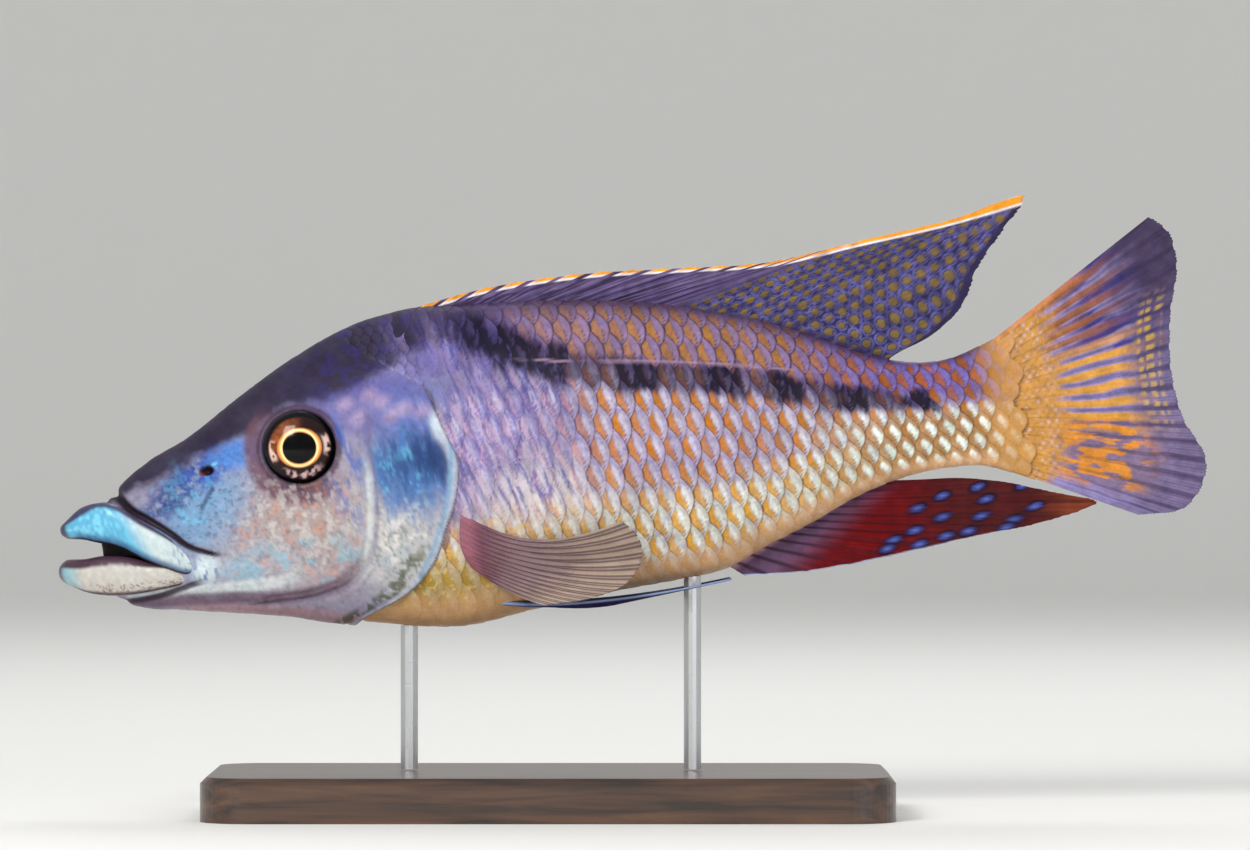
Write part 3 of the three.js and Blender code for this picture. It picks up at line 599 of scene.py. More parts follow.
def head_paint(x, z):
    """Colours of the head and gill covers."""
    grain, fine, tiny = mottle(x, z, 3.4, 11), mottle(x, z, 1.3, 12), mottle(x, z, 0.6, 13)
    spot = lambda *shape: blob(x, z, *shape)
    bottom = belly_line(x)
    r = np.hypot(x - EYE_X, z - EYE_Z)
    ahead = gill_x(z) - x
    opening = ramp(z, 21, 15)
    band, side, _ = from_path(x, z, TOP_BAND, 80)
    dark = ramp(band * side + 2.4 * (mottle(x, z, 2.2, 10) - 0.5), -1.8, 1.0)
    veil = ramp(mottle(x + 0.12 * z, z * 0.22, 1.3, 17), 0.46, 0.6)
    bx = x + 3 * (mottle(x, z * 0.5, 1.6, 18) - 0.5)
    bz = z + 5 * (mottle(x * 1.6, z * 0.4, 1.5, 20) - 0.5)
    out = layers(
        plain((140, 136, 160), x),
        ((160, 146, 146), spot(43, -4, 15, 11, 0, 0.6)),
        ((160, 166, 182), spot(34, -9, 10, 5, -8, 0.8) * 0.8),
        ((178, 178, 180), spot(62, -9, 8, 11, 8, 0.6)),
        ((108, 146, 184), spot(26.5, 3, 9, 6.5, 30, 0.6) * 0.9),
        ((88, 84, 148), spot(58, 18.5, 13, 6.5, -10, 0.6) * 0.95),
        ((92, 102, 164), spot(67, 14, 7, 7, -10, 0.7) * 0.8),
        ((92, 84, 146), ramp(z, 16, 24) * ramp(x, 60, 72)),
        ((36, 28, 50), dark * (0.9 + 0.1 * grain)),
        ((40, 36, 98), dark * ramp(fine, 0.5, 0.62) * ramp(x, 40, 56) * 0.5),
        ((40, 54, 116), spot(22, 6.6, 8, 3, 36, 0.6) * ramp(fine, 0.25, 0.55) * 0.95),
        ((48, 76, 166), spot(28.6, 9.6, 5.2, 2.6, 20, 0.7) * ramp(fine, 0.25, 0.55) * 0.9),
        ((72, 122, 196), spot(34.4, 11.8, 5.2, 2.4, 8, 0.5) * 0.95),
        ((98, 68, 84), ramp(np.abs(r - 8.6), 2.4, 0.8) * ramp(x + 0.9 * z, 60, 50) * 0.9),
        ((70, 50, 70), ramp(np.abs(r - 7.1), 0.9, 0.35) * 0.85),
        ((62, 88, 166), veil * spot(53.2, 7.5, 3.6, 8.5, 0, 0.6) * 0.75),
        ((76, 116, 178), veil * spot(61, 1, 7, 8, 0, 0.6) * 0.6),
        ((60, 104, 164), blob(bx, bz, 64.6, 4.4, 7.2, 7.2, -10, 0.5) * 0.92),
        ((96, 176, 206), ramp(fine, 0.58, 0.68) * spot(63, 4, 6, 6, 0, 0.6) * 0.6),
        ((24, 46, 94), blob(bx, bz, 69.0, 6.0, 3.4, 3.6, -24, 0.6) * (0.6 + 0.4 * fine)),
        ((36, 44, 92), veil * spot(65, 6.5, 5, 5, 0, 0.6) * 0.5),
        ((200, 212, 218), spot(71, 11.6, 1.7, 2.8, 12, 0.6) * 0.85),
    )
    for cx, cz in COVER_SPOTS:
        out = lay(out, colour(176, 150, 176), spot(cx, cz, 1.5, 1.1, 20, 0.9) * 0.5)

    warm = spot(43, -4, 12, 9, 0, 0.7)
    ridge, _, place = from_path(x, z, COVER_RIDGE, 70)
    shine = ramp(ridge, 1.1, 0.35) * 0.7 * ramp(place, 0.1, 0.3) * ramp(place, 0.98, 0.75)
    d, side, _ = from_path(x, z, PREOPERCLE)
    light, _, light_place = from_path(x, z, JAW_LIGHT, 50)
    below = ramp(z - bottom, 2.6, 1.2) * ramp(x, 14, 24)
    jaw, _, jaw_place = from_path(x, z, JAW_BAND, 60)
    cover = distance(x, z, COVER_LINE, 60)
    marks = ramp(fine, 0.44, 0.58) * ramp(np.abs(ahead - 4.6), 3.4, 1.0) * ramp(z, -7, -12)
    lip, _, lip_place = from_path(x, z, LIP_GROOVE, 60)
    lip = lip / (1 - 0.65 * lip_place)
    chin = distance(x, z, JAW_FOLD, 50)
    fold = distance(x, z, LACHRYMAL_FOLD, 30)
    corner = spot(25.4, -8, 2.4, 2.2, 0, 0.6)
    n = np.hypot((x - NOSTRIL_X) / 1.5, z - NOSTRIL_Z)
    mouth = distance(x, z, MOUTH_LINE, 40)
    out = layers(
        out,
        ((190, 134, 104), ramp(fine, 0.55, 0.68) * warm * 0.5),
        ((206, 200, 196), ramp(1 - fine, 0.52, 0.66) * spot(44, -3, 13, 10, 0, 0.7) * 0.55),
        ((112, 96, 112), ramp(tiny, 0.42, 0.3) * spot(44, -2, 15, 11, 0, 0.6) * 0.3),
        ((110, 180, 204), ramp(1 - grain, 0.5, 0.64) * spot(42, -9.5, 14, 4.5, 0, 0.7) * 0.5),
        ((96, 176, 206), ramp(fine, 0.54, 0.7) * spot(23, 3, 9, 6, 36, 0.7) * 0.4),
        ((60, 64, 110), ramp(tiny, 0.4, 0.28) * spot(26, 5, 10, 7, 30, 0.7) * 0.5),
        ((210, 206, 200), ramp(fine, 0.52, 0.64) * spot(62, -10, 6, 8, 8, 0.6) * 0.6),
        ((96, 112, 108), ramp(tiny, 0.4, 0.3) * spot(62, -10, 8, 9, 8, 0.6) * 0.5),
        ((206, 210, 208), shine),
        # painted shade just behind the raised preopercle ridge
        ((92, 84, 120), ramp(np.abs(d * side - 0.8), 0.8, 0.2) * 0.45),
        ((200, 208, 210), ramp(light, 1.5, 0.5) * ramp(light_place, 0.98, 0.7) * 0.85),
        ((176, 144, 154), below * 0.9),
        ((98, 72, 92), ramp(jaw, 1.7, 0.5) * (0.6 + 0.3 * grain) * ramp(jaw_place, 1.0, 0.7)),
        ((172, 178, 196), ramp(ahead, 2.4, 1.2) * ramp(ahead, -0.5, 0.3) * opening * ramp(z, 13, 8) * 0.8),
        ((96, 154, 186), ramp(cover, 0.6, 0.15) * 0.6),
        ((64, 74, 48), marks * 0.8),
        # painted shade in the gill opening
        ((34, 24, 34), ramp(np.abs(ahead + 0.25), 0.6, 0.2) * opening),
        # painted shade in the lip groove
        ((34, 22, 34), ramp(lip, 1.5, 0.6) * ramp(lip_place, 1.0, 0.9)),
        # painted shade in the chin fold
        ((50, 36, 52), ramp(chin, 0.8, 0.3) * 0.9),
        # painted shade in the fold on the snout in front of the eye
        ((52, 62, 98), ramp(fold, 0.6, 0.2) * 0.8),
        ((198, 212, 218), corner * (1 - ramp(lip, 1.4, 0.8))),
        ((66, 96, 156), corner * ramp(noise(x * 1.6, z * 0.7, 0.8, 19), 0.58, 0.72) * 0.8),
        # painted shade in the nostril pit
        ((32, 18, 26), ramp(n, 1.1, 0.7)),
        ((120, 50, 44), spot(NOSTRIL_X - 1.0, NOSTRIL_Z - 0.5, 0.6, 0.4, 0, 0.5) * 0.8),
        ((110, 190, 214), spot(NOSTRIL_X + 1.5, NOSTRIL_Z + 1.0, 0.6, 0.35, 20, 0.5) * 0.8),
        # painted shade in the socket, in the gap round the eyeball
        ((14, 8, 14), ramp(r, 6.9, 6.3)),
        # painted shade inside the mouth, between the lips
        ((22, 10, 18), ramp(mouth, 3.4, 2.4)),
    )
    out = lay(out, out * 0.62, ramp(mottle(x + 0.4 * z, z - 0.3 * x, 0.8, 14), 0.56, 0.7) * (1 - dark) * 0.45)
    # Painted shade deep in the mouth
    out = lay(out, colour(16, 8, 12), ramp(x, 15.5, 14.5) * ramp(np.abs(z + 1.9), 3.4, 3.0))
    return out * (0.78 + 0.24 * fine + 0.2 * tiny)[..., None]


def head_share(x, z):
    """1 on the head and 0 on the trunk: sharp at the gill opening and soft over the nape."""
    ahead = gill_x(z) - x
    width = 0.15 + 5.0 * ramp(z, 15, 24)
    return ramp(ahead, -width, width)


def unwrap_place(x, up, left):
    """A place on the unwrap of the skin: the two flanks lie one above the other."""
    u = 0.02 + 0.96 * x / UNWRAP_LENGTH
    v = np.where(left, 0.74, 0.26) + np.clip(up, -UNWRAP_REACH, UNWRAP_REACH) / UNWRAP_HEIGHT
    return np.stack([u, v], -1)


def make_skin(material):
    """One skin from the snout to the tail base, with the relief of the head."""
    stations = np.concatenate([
        np.arange(NOSE_X, FINE_RINGS_TO, FINE_RING_STEP), np.arange(FINE_RINGS_TO, BODY_END_X, RING_STEP),
        [BODY_END_X],
    ])
    angles = np.linspace(0, 2 * math.pi, SKIN_SIDES, endpoint=False)
    x, angle = np.meshgrid(stations, angles, indexing="ij")
    base = skin_point(x, angle)
    z = base[..., 2]
    rise = np.where(x < RELIEF_TO, head_relief(x, z), 0)
    mouth = distance(x, z, MOUTH_LINE, 40)
    points = base + skin_normal(x, angle) * (rise - SKIN_SINK)[..., None]
    points[..., 1] *= 1 - 0.6 * ramp(mouth, 3.6, 2.4)
    points[..., 1] *= 1 - 0.55 * ramp(x, 169, 176)
    half = np.full(x.shape, 0.5)
    trunk = trunk_paint(x, z, half, half * 0, half)
    head = head_paint(x, z)
    share = head_share(x, z)[..., None]
    paint = trunk * (1 - share) + head * share
    left = angle < math.pi
    turned = np.where(left, angle, 2 * math.pi - angle)
    up = (math.pi / 2 - turned) * 0.6 * (back_line(x) - belly_line(x))
    # The end point inside the mouth gets painted shade; the one at the tail base gets the tail's colour.
    ends = np.array([[NOSE_X + 2.5, 0, -1.8], [BODY_END_X, 0, 1]])
    skin = make_mesh(
        "skin", to_world(with_ends(points, ends)), tube_faces(len(stations), SKIN_SIDES),
        with_ends(paint, [colour(24, 10, 18), colour(180, 120, 80)]),
        with_ends(unwrap_place(x, up, left), [[0.02, 0.5], [0.9, 0.5]]), material,
    )
    return finish_piece(
        skin, "head_skin", "head", "gill_cover_left", "gill_cover_right", "trunk", "tail_stalk",
    )


# Scales

def body_from(z):
    """Where the large scales begin: under the gill cover's edge, and behind the small scales of the nape."""
    return gill_x(z) - 1.2 + 2.4 * ramp(z, 15, 21)


def on_body(x, z):
    """Whether a large scale may sit here."""
    return x >= body_from(z)


def nape_edge(x):
    """The lower edge of the patch of small scales."""
    return np.maximum(28.5 - 0.72 * (x - 52), 13.5)


def on_nape(x, z):
    """Whether a small nape scale may sit here."""
    return x >= NAPE_RUN[0] and z > nape_edge(x) and x < body_from(z) + 4


def scale_centres(from_x, to_x, pitch, row_step, inside):
    """Middles of the scales between two stations, as x, number of the row and height z."""
    centres = []
    for row in range(-ROWS_EACH_WAY, ROWS_EACH_WAY):
        for column in range(int(from_x / pitch), int(to_x / pitch) + 1):
            x = (column + (ROW_SHIFT * row) % 1) * pitch
            step = float(row_step(x))
            up = row * step
            top = float(np.interp(x, rows.xs, rows.top)) + ROW_MARGIN * step
            bottom = float(np.interp(x, rows.xs, rows.bottom)) - ROW_MARGIN * step
            if not from_x <= x < to_x or up > top or up < bottom:
                continue
            z = float(skin_point(np.array(x), rows.angle(np.array(x), np.array(up)))[..., 2])
            if inside(x, z):
                centres.append((x, row, z))
    return np.array(centres)


def plate_faces(lines, columns, count):
    """Faces of count plates: a grid each, closed by a fan to one point below that follows the grid."""
    per = lines * columns
    rim = np.concatenate([
        np.arange(columns),
        (np.arange(1, lines) + 1) * columns - 1,
        per - 2 - np.arange(columns - 1),
        np.arange(lines - 2, 0, -1) * columns,
    ])
    skirt = np.stack([np.full(len(rim), per), rim, np.roll(rim, -1)], -1)
    offsets = (np.arange(count) * (per + 1))[:, None, None]
    return (grid_faces(lines, columns)[None] + offsets).reshape(-1, 4), (skirt[None] + offsets).reshape(-1, 3)


def make_scales(name, material, left, from_x, to_x, pitch, row_step, inside, nape=False):
    """Overlapping scales between two stations of one flank, each a thin closed plate."""
    random = np.random.default_rng(int(from_x) + (1000 if left else 0))
    across_count, along_count = NAPE_GRID if nape else SCALE_GRID
    reach, root = SCALE_REACH * pitch, SCALE_ROOT * pitch
    free = lambda a: reach * (1 - a ** 2)
    across = np.linspace(-1, 1, across_count)
    along = np.concatenate([[0], np.linspace(FIRST_STEP_ALONG, 1, along_count - 1)])
    share_along, across_grid = np.meshgrid(along, across, indexing="ij")
    edge = free(across_grid)
    xi = -root + share_along * (edge + root)
    beside = np.where(across_grid > 0, 1 - ROW_SHIFT, ROW_SHIFT) * pitch
    covered = np.maximum(free(across_grid) - pitch, free(1 - np.abs(across_grid)) - beside)
    share = np.clip((xi - covered) / np.maximum(edge - covered, 0.3), 0, 1)
    centres = scale_centres(from_x, to_x, pitch, row_step, inside)
    behind = centres[:, 0] - body_from(centres[:, 2])
    n = len(centres)
    jitter = random.random((n, 4))
    spread = lambda values: np.asarray(values)[:, None, None]
    x = spread(centres[:, 0]) + xi + 0.08 * pitch * spread(jitter[:, 0] - 0.5)
    up = (spread(centres[:, 1]) + across_grid) * row_step(x)
    angle = rows.angle(x, up)
    base = skin_point(x, angle)
    z = base[..., 2]
    height = SCALE_SINK + SCALE_SLOPE * (xi + root) + 0.03 * spread(jitter[:, 1] - 0.5) * across_grid
    height = height - 0.04 * across_grid ** 2 - 0.05 * share ** 6
    if nape:
        height = height + head_relief(x, z) - 0.3 * ramp(x, 58, 51)
        height = height - 0.35 * ramp(z - nape_edge(x), 4.0, 0.5)
        height = height - 0.14 * ramp(x - body_from(z), 2.2, 5.0)
    else:
        first = spread(ramp(behind, 3.4, 0.5) * ramp(centres[:, 2], 13, 17))
        height = height - first * 0.55 * ramp(xi, -0.2 * pitch, -1.0 * pitch)
        height = height - 0.16 * ramp(x, 168, 175)
    normal = skin_normal(x, angle)
    top_points = base + normal * height[..., None]
    shade = np.broadcast_to(spread(jitter[:, 2]), x.shape)
    if not nape:
        bare = ramp(behind, 5.5, 3.5) * ramp(centres[:, 2], 8, 12)
        share = np.maximum(share, 0.4 * spread(bare))
    share, across_all = np.broadcast_to(share, x.shape), np.broadcast_to(across_grid, x.shape)
    paint = trunk_paint(x, z, share, across_all, shade)
    if nape or from_x < 90:
        # Painted shade on the small scales: each is darker at its covered front, under the edge of the scale
        # before it, and grows lighter towards its free edge
        outline_and_shade = ramp(share, 0.16, 0.0) * 0.55
        head = head_paint(x, z) * (1 - outline_and_shade)[..., None] * (0.88 + 0.3 * ramp(share, 0.2, 0.9))[..., None]
        portion = head_share(x, z) if nape else ramp(body_from(z) + 3.5 - x, -2.5, 2.5) * ramp(z, 12, 18)
        paint = lay(paint, head, portion)
    paint = paint * (0.9 + 0.2 * spread(jitter[:, 3]))[..., None]
    under = (base - normal * SCALE_THICKNESS)[:, along_count // 2, across_count // 2]
    per = across_count * along_count
    quads, tris = plate_faces(along_count, across_count, n)
    points = np.concatenate([top_points.reshape(n, per, 3), under[:, None]], 1).reshape(-1, 3)
    colours = np.concatenate([paint.reshape(n, per, 3), paint[:, 0, :1]], 1).reshape(-1, 3)
    roots = unwrap_place(centres[:, 0], centres[:, 1] * row_step(centres[:, 0]), left)
    local = np.stack([xi / (2 * root), across_grid / 2], -1).reshape(per, 2) * SCALE_UNWRAP
    local = np.concatenate([local, [[0, 0]]])
    unwrap = (roots[:, None] + local[None]).reshape(-1, 2)
    if not left:
        points[:, 1] *= -1
        quads, tris = quads[:, ::-1], tris[:, ::-1]
    thing = make_mesh(name, to_world(points), [quads, tris], colours, unwrap, material)
    return finish_piece(thing, "body_scales")


# Lips

UPPER_LIP = dict(
    front=1.7, reach=23.6, half=7.4,
    line=[(0, 2.4), (0.1, 3.1), (0.2, 3.0), (0.38, 1.8), (0.56, -1.4), (0.73, -4.0), (0.86, -6.0), (1, -7.2)],
    high=[(0, 1.7), (0.1, 2.8), (0.2, 3.5), (0.38, 3.9), (0.56, 3.6), (0.73, 3.2), (0.86, 2.5), (1, 1.4)],
    thick=[(0, 1.9), (0.5, 1.9), (1, 1.4)],
)
LOWER_LIP = dict(
    front=0.6, reach=23, half=6.5,
    line=[(0, -5.2), (0.12, -6.2), (0.25, -6.6), (0.45, -7.2), (0.65, -8.0), (0.85, -8.5), (1, -8.7)],
    high=[(0, 2.3), (0.12, 3.0), (0.25, 3.5), (0.45, 3.5), (0.65, 2.6), (0.85, 1.7), (1, 1.0)],
    thick=[(0, 2.1), (0.5, 2.0), (1, 1.2)],
)


def upper_lip_paint(back, around):
    """back runs from the tip (0) to the corner (1); around is 0 outside and a quarter turn on top."""
    high = np.sin(around)
    grain, fine = noise(back * 50, around * 4, 1.0, 21), noise(back * 130, around * 3, 1.0, 23)
    rim = 0.2 + 0.45 * ramp(back, 0.05, 0.3)
    out = layers(
        plain((92, 170, 204), back),
        ((188, 202, 204), ramp(back + 0.1 * high, 0.42, 0.66)),
        ((120, 196, 222), ramp(grain, 0.5, 0.7) * ramp(back, 0.5, 0.3) * 0.7),
        ((44, 82, 130), ramp(high, -0.3, -0.75) * ramp(back, 0.04, 0.12) * 0.8),
        ((46, 32, 62), ramp(back, 0.05, 0.015)),
        ((58, 44, 80), ramp(high, rim, rim + 0.25) * 0.95),
        ((64, 88, 140), ramp(fine, 0.6, 0.74) * ramp(back, 0.66, 0.9) * 0.7),
        # painted shade on the underside, in the gap between the lips
        ((24, 14, 28), ramp(high, -0.72, -0.92)),
        # painted shade on the inner side, which faces into the mouth
        ((36, 20, 36), ramp(np.cos(around), -0.1, -0.4)),
    )
    return out * (0.84 + 0.2 * grain + 0.1 * fine)[..., None]


def lower_lip_paint(back, around):
    """back and around are those of the upper lip."""
    high = np.sin(around)
    grain, fine = noise(back * 50, around * 4, 1.0, 22), noise(back * 120, around * 8, 1.0, 24)
    inner = ramp(back, 0.75, 0.45)
    spots = ramp(fine, 0.55, 0.7) * ramp(high, -0.05, -0.5) * ramp(back, 0.12, 0.3)
    out = layers(
        plain((186, 182, 176), back),
        ((108, 168, 184), ramp(back, 0.16, 0.03) * 0.75),
        # dark violet tip, and painted shade on the underside of the lip
        ((52, 40, 64), np.maximum(ramp(back, 0.03, 0.0), ramp(high, -0.7, -0.9))),
        ((70, 46, 62), ramp(high, 0.35 + 0.2 * (1 - inner), 0.6 + 0.2 * (1 - inner))),
        ((120, 92, 74), spots * 0.75),
        # painted shade on the inner side, which faces into the mouth
        ((40, 24, 38), ramp(np.cos(around), -0.1, -0.4)),
    )
    return out * (0.88 + 0.18 * grain)[..., None]


def make_lip(name, spec, paint, material, node):
    """A full lip from corner to corner, rounded outside and drawn in at its corners."""
    line, high, thick = through(spec["line"]), through(spec["high"]), through(spec["thick"])
    steps, sides = 221, 80
    turn, around = np.meshgrid(
        np.linspace(-math.pi / 2, math.pi / 2, steps),
        np.linspace(0, 2 * math.pi, sides, endpoint=False), indexing="ij",
    )
    back = 1 - np.cos(turn)
    share = np.abs(turn) / (math.pi / 2)
    taper = np.sqrt(np.clip(1 - ((share - 0.9) / 0.102) ** 2 * (share > 0.9), 0.0004, 1))
    half = spec["half"] - 1.2 * ramp(share, 0.85, 1)
    centre = np.stack([spec["front"] + spec["reach"] * back, half * np.sin(turn), line(back)], -1)
    run = np.stack([spec["reach"] * np.sin(turn), spec["half"] * np.cos(turn)], -1)
    run /= np.linalg.norm(run, axis=-1, keepdims=True)
    c, s = np.cos(around), np.sin(around)
    blunt = 1 - 0.15 * ramp(back, 0.05, 0.3)
    out = np.sign(c) * np.abs(c) ** blunt * thick(share) * taper
    wrinkle = 0.08 * np.sin(back * 130 + 2 * np.sin(around * 2)) * ramp(back, 0.5, 0.9) * taper
    out = out + (0.12 * (noise(back * 40, around * 2, 1.0, 3) - 0.5) + wrinkle) * (c > -0.2)
    rise = np.sign(s) * np.abs(s) ** blunt * high(back) * taper
    points = np.stack([
        centre[..., 0] - run[..., 1] * out, centre[..., 1] + run[..., 0] * out, centre[..., 2] + rise,
    ], -1)
    colours = paint(back, around)
    unwrap = np.stack([0.1 + 0.8 * (turn / math.pi + 0.5), 0.1 + 0.8 * around / (2 * math.pi)], -1)
    lip = make_mesh(
        name, to_world(with_ends(points, points[[0, -1]].mean(1))), tube_faces(steps, sides),
        with_ends(colours, colours[[0, -1], 0]), with_ends(unwrap, [[0.05, 0.5], [0.95, 0.5]]), material,
    )
    return finish_piece(lip, "lips", node)


# Eyes

def eye_paint(r, turn):
    """Colours of an eye. r is 0 at the middle and 1 at the rim; turn is 0 towards the snout."""
    ahead, s = np.cos(turn), np.sin(turn)
    grain = noise(ahead * r * 12, s * r * 12, 1.0, 31)
    pupil = 0.43 + 0.02 * np.abs(ahead) ** 3
    outer = 0.525 + 0.07 * np.abs(ahead) ** 2
    bronze = ramp(ahead * 0.75 + s * 0.6, 0.3, 0.95)
    glint = ramp(-s, 0.62, 0.96) * ramp(np.abs(r - 0.74), 0.14, 0.05)
    tips = ramp(np.abs(ahead), 0.9, 0.98) * ramp(np.abs(r - 0.74), 0.12, 0.04)
    ring = ramp(r, pupil - 0.01, pupil + 0.02) * ramp(r, outer + 0.02, outer - 0.02)
    out = layers(
        plain((34, 20, 20), r),
        ((150, 84, 48), bronze * (0.4 + 0.6 * grain) * ramp(r, 0.88, 0.74)),
        ((206, 170, 170), glint * ramp(grain, 0.3, 0.6)),
        ((226, 190, 180), tips * ramp(grain, 0.25, 0.5) * 0.9),
        ((10, 6, 10), ramp(r, 0.8, 0.87)),
        ((52, 38, 62), ramp(r, 0.95, 1.0) * 0.7),
        ((226, 138, 66), ring),
        ((255, 226, 160), ring * ramp(np.abs(r - pupil - 0.045), 0.05, 0.015)),
    )
    return lay(out, colour(2, 1, 2), ramp(r, pupil + 0.012, pupil - 0.008))


def make_eye(side, word, material):
    """An eyeball with a painted iris and pupil under a clear coat."""
    rings, sides = 90, 128
    bend, turn = np.meshgrid(
        np.linspace(0.012, math.pi * 0.97, rings),
        np.linspace(0, 2 * math.pi, sides, endpoint=False), indexing="ij",
    )
    r = np.sin(np.minimum(bend, math.pi / 2))
    out = EYE_DEEP * np.cos(bend)
    across = EYE_ACROSS * np.sin(bend)
    middle = float(flank_at(EYE_X, EYE_Z)) - EYE_INSET
    points = np.stack([
        EYE_X - across * np.cos(turn), side * (middle + out), EYE_Z + across * np.sin(turn),
    ], -1)
    behind = colour(14, 8, 14)
    colours = np.where((bend > 1.55)[..., None], behind, eye_paint(r, turn))
    unwrap = 0.5 + 0.48 * (bend / math.pi)[..., None] * np.stack([np.cos(turn), np.sin(turn)], -1)
    faces = tube_faces(rings, sides)
    if side > 0:
        faces = [f[:, ::-1] for f in faces]
    eye = make_mesh(
        f"eyeball_{word}", to_world(with_ends(points, [points[0].mean(0), points[-1].mean(0)])), faces,
        with_ends(colours, [colour(3, 2, 4), behind]), with_ends(unwrap, [[0.5, 0.5], [0.98, 0.5]]), material,
    )
    return finish_piece(eye, "eye", f"eye_{word}")


# Fins

DORSAL_BASE = [(64, 31), (80, 30.4), (100, 28.4), (118, 24.4), (130, 20.4), (142, 15.4), (150.5, 10.8)]
DORSAL_MARGIN = [
    (69, 33.6), (80, 35.2), (100, 35.6), (118, 34.2), (134, 33), (150, 34.4), (168, 36), (181.6, 38),
    (176.6, 32.6), (171.2, 26.6), (167.4, 20.2), (161, 15.6), (154, 13.2),
]
ANAL_BASE = [(117, -19.2), (124, -16.6), (133, -13.6), (140, -10.6), (146, -8.2)]
ANAL_MARGIN = [
    (121.5, -22.9), (134, -23.8), (147, -23.1), (164, -21.6), (178, -20.6), (186.8, -18.6),
    (179, -15.6), (170, -12.4), (161, -10.5), (152, -10.1),
]
CAUDAL_BASE = [(TAIL_BASE_X + GAP - 1.5, 12.0), (TAIL_BASE_X + GAP - 1.5, -9.6)]
CAUDAL_MARGIN = [
    (203.5, 31.6), (206.6, 28.4), (207.4, 23.6), (204.8, 13), (203.6, 3), (204.4, -5), (207.6, -14.8),
    (205.8, -19), (203, -21.6), (194, -22),
]
PECTORAL_BASE = [(72.6, -4.0, -0.5), (71.8, -9.4, -0.5), (73.8, -15.0, -0.5)]
PECTORAL_BEND = [(83, -14.8, 3.2), (83, -18.4, 3.5), (79, -20.4, 3.8)]
PECTORAL_MARGIN = [
    (100.8, -9.6, 4.6), (103.2, -12.6, 4.8), (103.6, -16.6, 5), (101, -20.4, 5.2), (94, -22.6, 5.6),
    (85, -22.8, 5.4),
]
PELVIC_BASE = [(75, 6.4, -21), (78.4, 4.6, -21.4), (81.5, 2.6, -21.6)]
PELVIC_BEND = [(92, 11, -25), (92, 7, -25), (90, 3.4, -25)]
PELVIC_MARGIN = [(119.5, 6.4, -22.9), (116, 4.4, -23.2), (108, 3, -23.8), (97, 2.3, -24.6)]


def ray_ridge(cell, s, spiny):
    """Height share of the rays: one ridge at the root, which forks twice on its way out."""
    first = 0.17 * ramp(s, 0.35, 0.7) * (1 - spiny)
    second = 0.07 * ramp(s, 0.62, 0.95) * (1 - spiny)
    width = 0.13 - 0.06 * ramp(s, 0.3, 0.9)
    ridge = np.zeros(np.broadcast(cell, s).shape)
    for a in (-1, 1):
        for b in (-1, 1):
            ridge = np.maximum(ridge, np.exp(-((cell - a * first - b * second) / width) ** 2))
    return ridge


STEPS_PER_RAY = 12


def make_fin(
    name, material, slot, node, place, paint, rays, steps, root, edge, ridge, notch, spiny_share=0.0,
):
    """A fin from its middle sheet place(t, s), where t runs from ray to ray and s from root to margin.
    root and edge are its thickness there, ridge the height of its rays and notch how far the web
    between them is drawn in. The share of it with spines has rays that don't fork."""
    t, s = np.meshgrid(np.linspace(0, 1, rays * STEPS_PER_RAY + 1), np.linspace(0, 1, steps), indexing="ij")
    cell = np.mod(t * rays, 1) - 0.5
    spiny = ramp(t, spiny_share + 0.01, spiny_share - 0.01) if spiny_share else np.zeros(t.shape)
    ray = ray_ridge(cell, s, spiny)
    reach = s * (1 - notch * (0.35 + 0.65 * spiny) * (1 - ray_ridge(cell, np.ones(s.shape), spiny)) * s)
    centre = place(t, reach)
    d = 1e-3
    off_root = np.maximum(s, 0.05)
    across = place(np.minimum(t + d, 1), off_root) - place(np.maximum(t - d, 0), off_root)
    along = place(t, np.minimum(s + d, 1)) - place(t, np.maximum(s - d, 0))
    normal = np.cross(across, along)
    normal /= np.maximum(np.linalg.norm(normal, axis=-1, keepdims=True), 1e-9)
    web = root + (edge - root) * np.minimum(1, s * 1.5) ** 0.6
    web = edge + (web - edge) * np.sqrt(np.clip(4 * t * (1 - t), 0.02, 1))
    run = place(t, np.ones(s.shape)) - place(t, np.zeros(s.shape))
    half = web / 2 + ridge * ray * (1 - 0.65 * s) * ramp(s, 0.02, 0.16)
    half = half[..., None]
    near, far = centre - normal * half, centre + normal * half
    colours = paint(t, s, cell, ray, centre, run)
    n, m = t.shape
    points = np.concatenate([near, far[:, ::-1]], 1)
    paints = np.concatenate([colours, colours[:, ::-1]], 1)
    one = np.stack([0.02 + 0.96 * t, 0.02 + 0.46 * s], -1)
    two = np.stack([0.02 + 0.96 * t, 0.98 - 0.46 * s], -1)
    unwrap = np.concatenate([one, two[:, ::-1]], 1)
    faces = grid_faces(n, 2 * m, wrap=True)
    j = np.arange(m - 1)
    first = np.stack([j, 2 * m - 1 - j, 2 * m - 2 - j, j + 1], -1)
    last = (first + (n - 1) * 2 * m)[:, ::-1]
    thing = make_mesh(
        name, to_world(points.reshape(-1, 3)), [faces, np.concatenate([first, last])],
        paints.reshape(-1, 3), unwrap.reshape(-1, 2), material,
    )
    return finish_piece(thing, slot, node)


def middle_fin(base, margin):
    """The sheet of a flat fin in the fish's middle plane."""
    base, margin = path_through(base), path_through(margin)

    def place(t, s):
        flat = base(t) * (1 - s[..., None]) + margin(t) * s[..., None]
        return np.stack([flat[..., 0], np.zeros(s.shape), flat[..., 1]], -1)

    return place


def bent_fin(base, bend, margin):
    """The sheet of a fin whose rays curve out from base to margin, drawn towards bend."""
    base, bend, margin = path_through(base), path_through(bend), path_through(margin)

    def place(t, s):
        s = s[..., None]
        return (1 - s) ** 2 * base(t) + 2 * s * (1 - s) * bend(t) + s * s * margin(t)

    return place


DORSAL_PIVOT = (150, 12)
DORSAL_RAYS, ANAL_RAYS, CAUDAL_RAYS, PECTORAL_RAYS, PELVIC_RAYS = 28, 13, 18, 13, 6
SPOT_STEP = 2.7


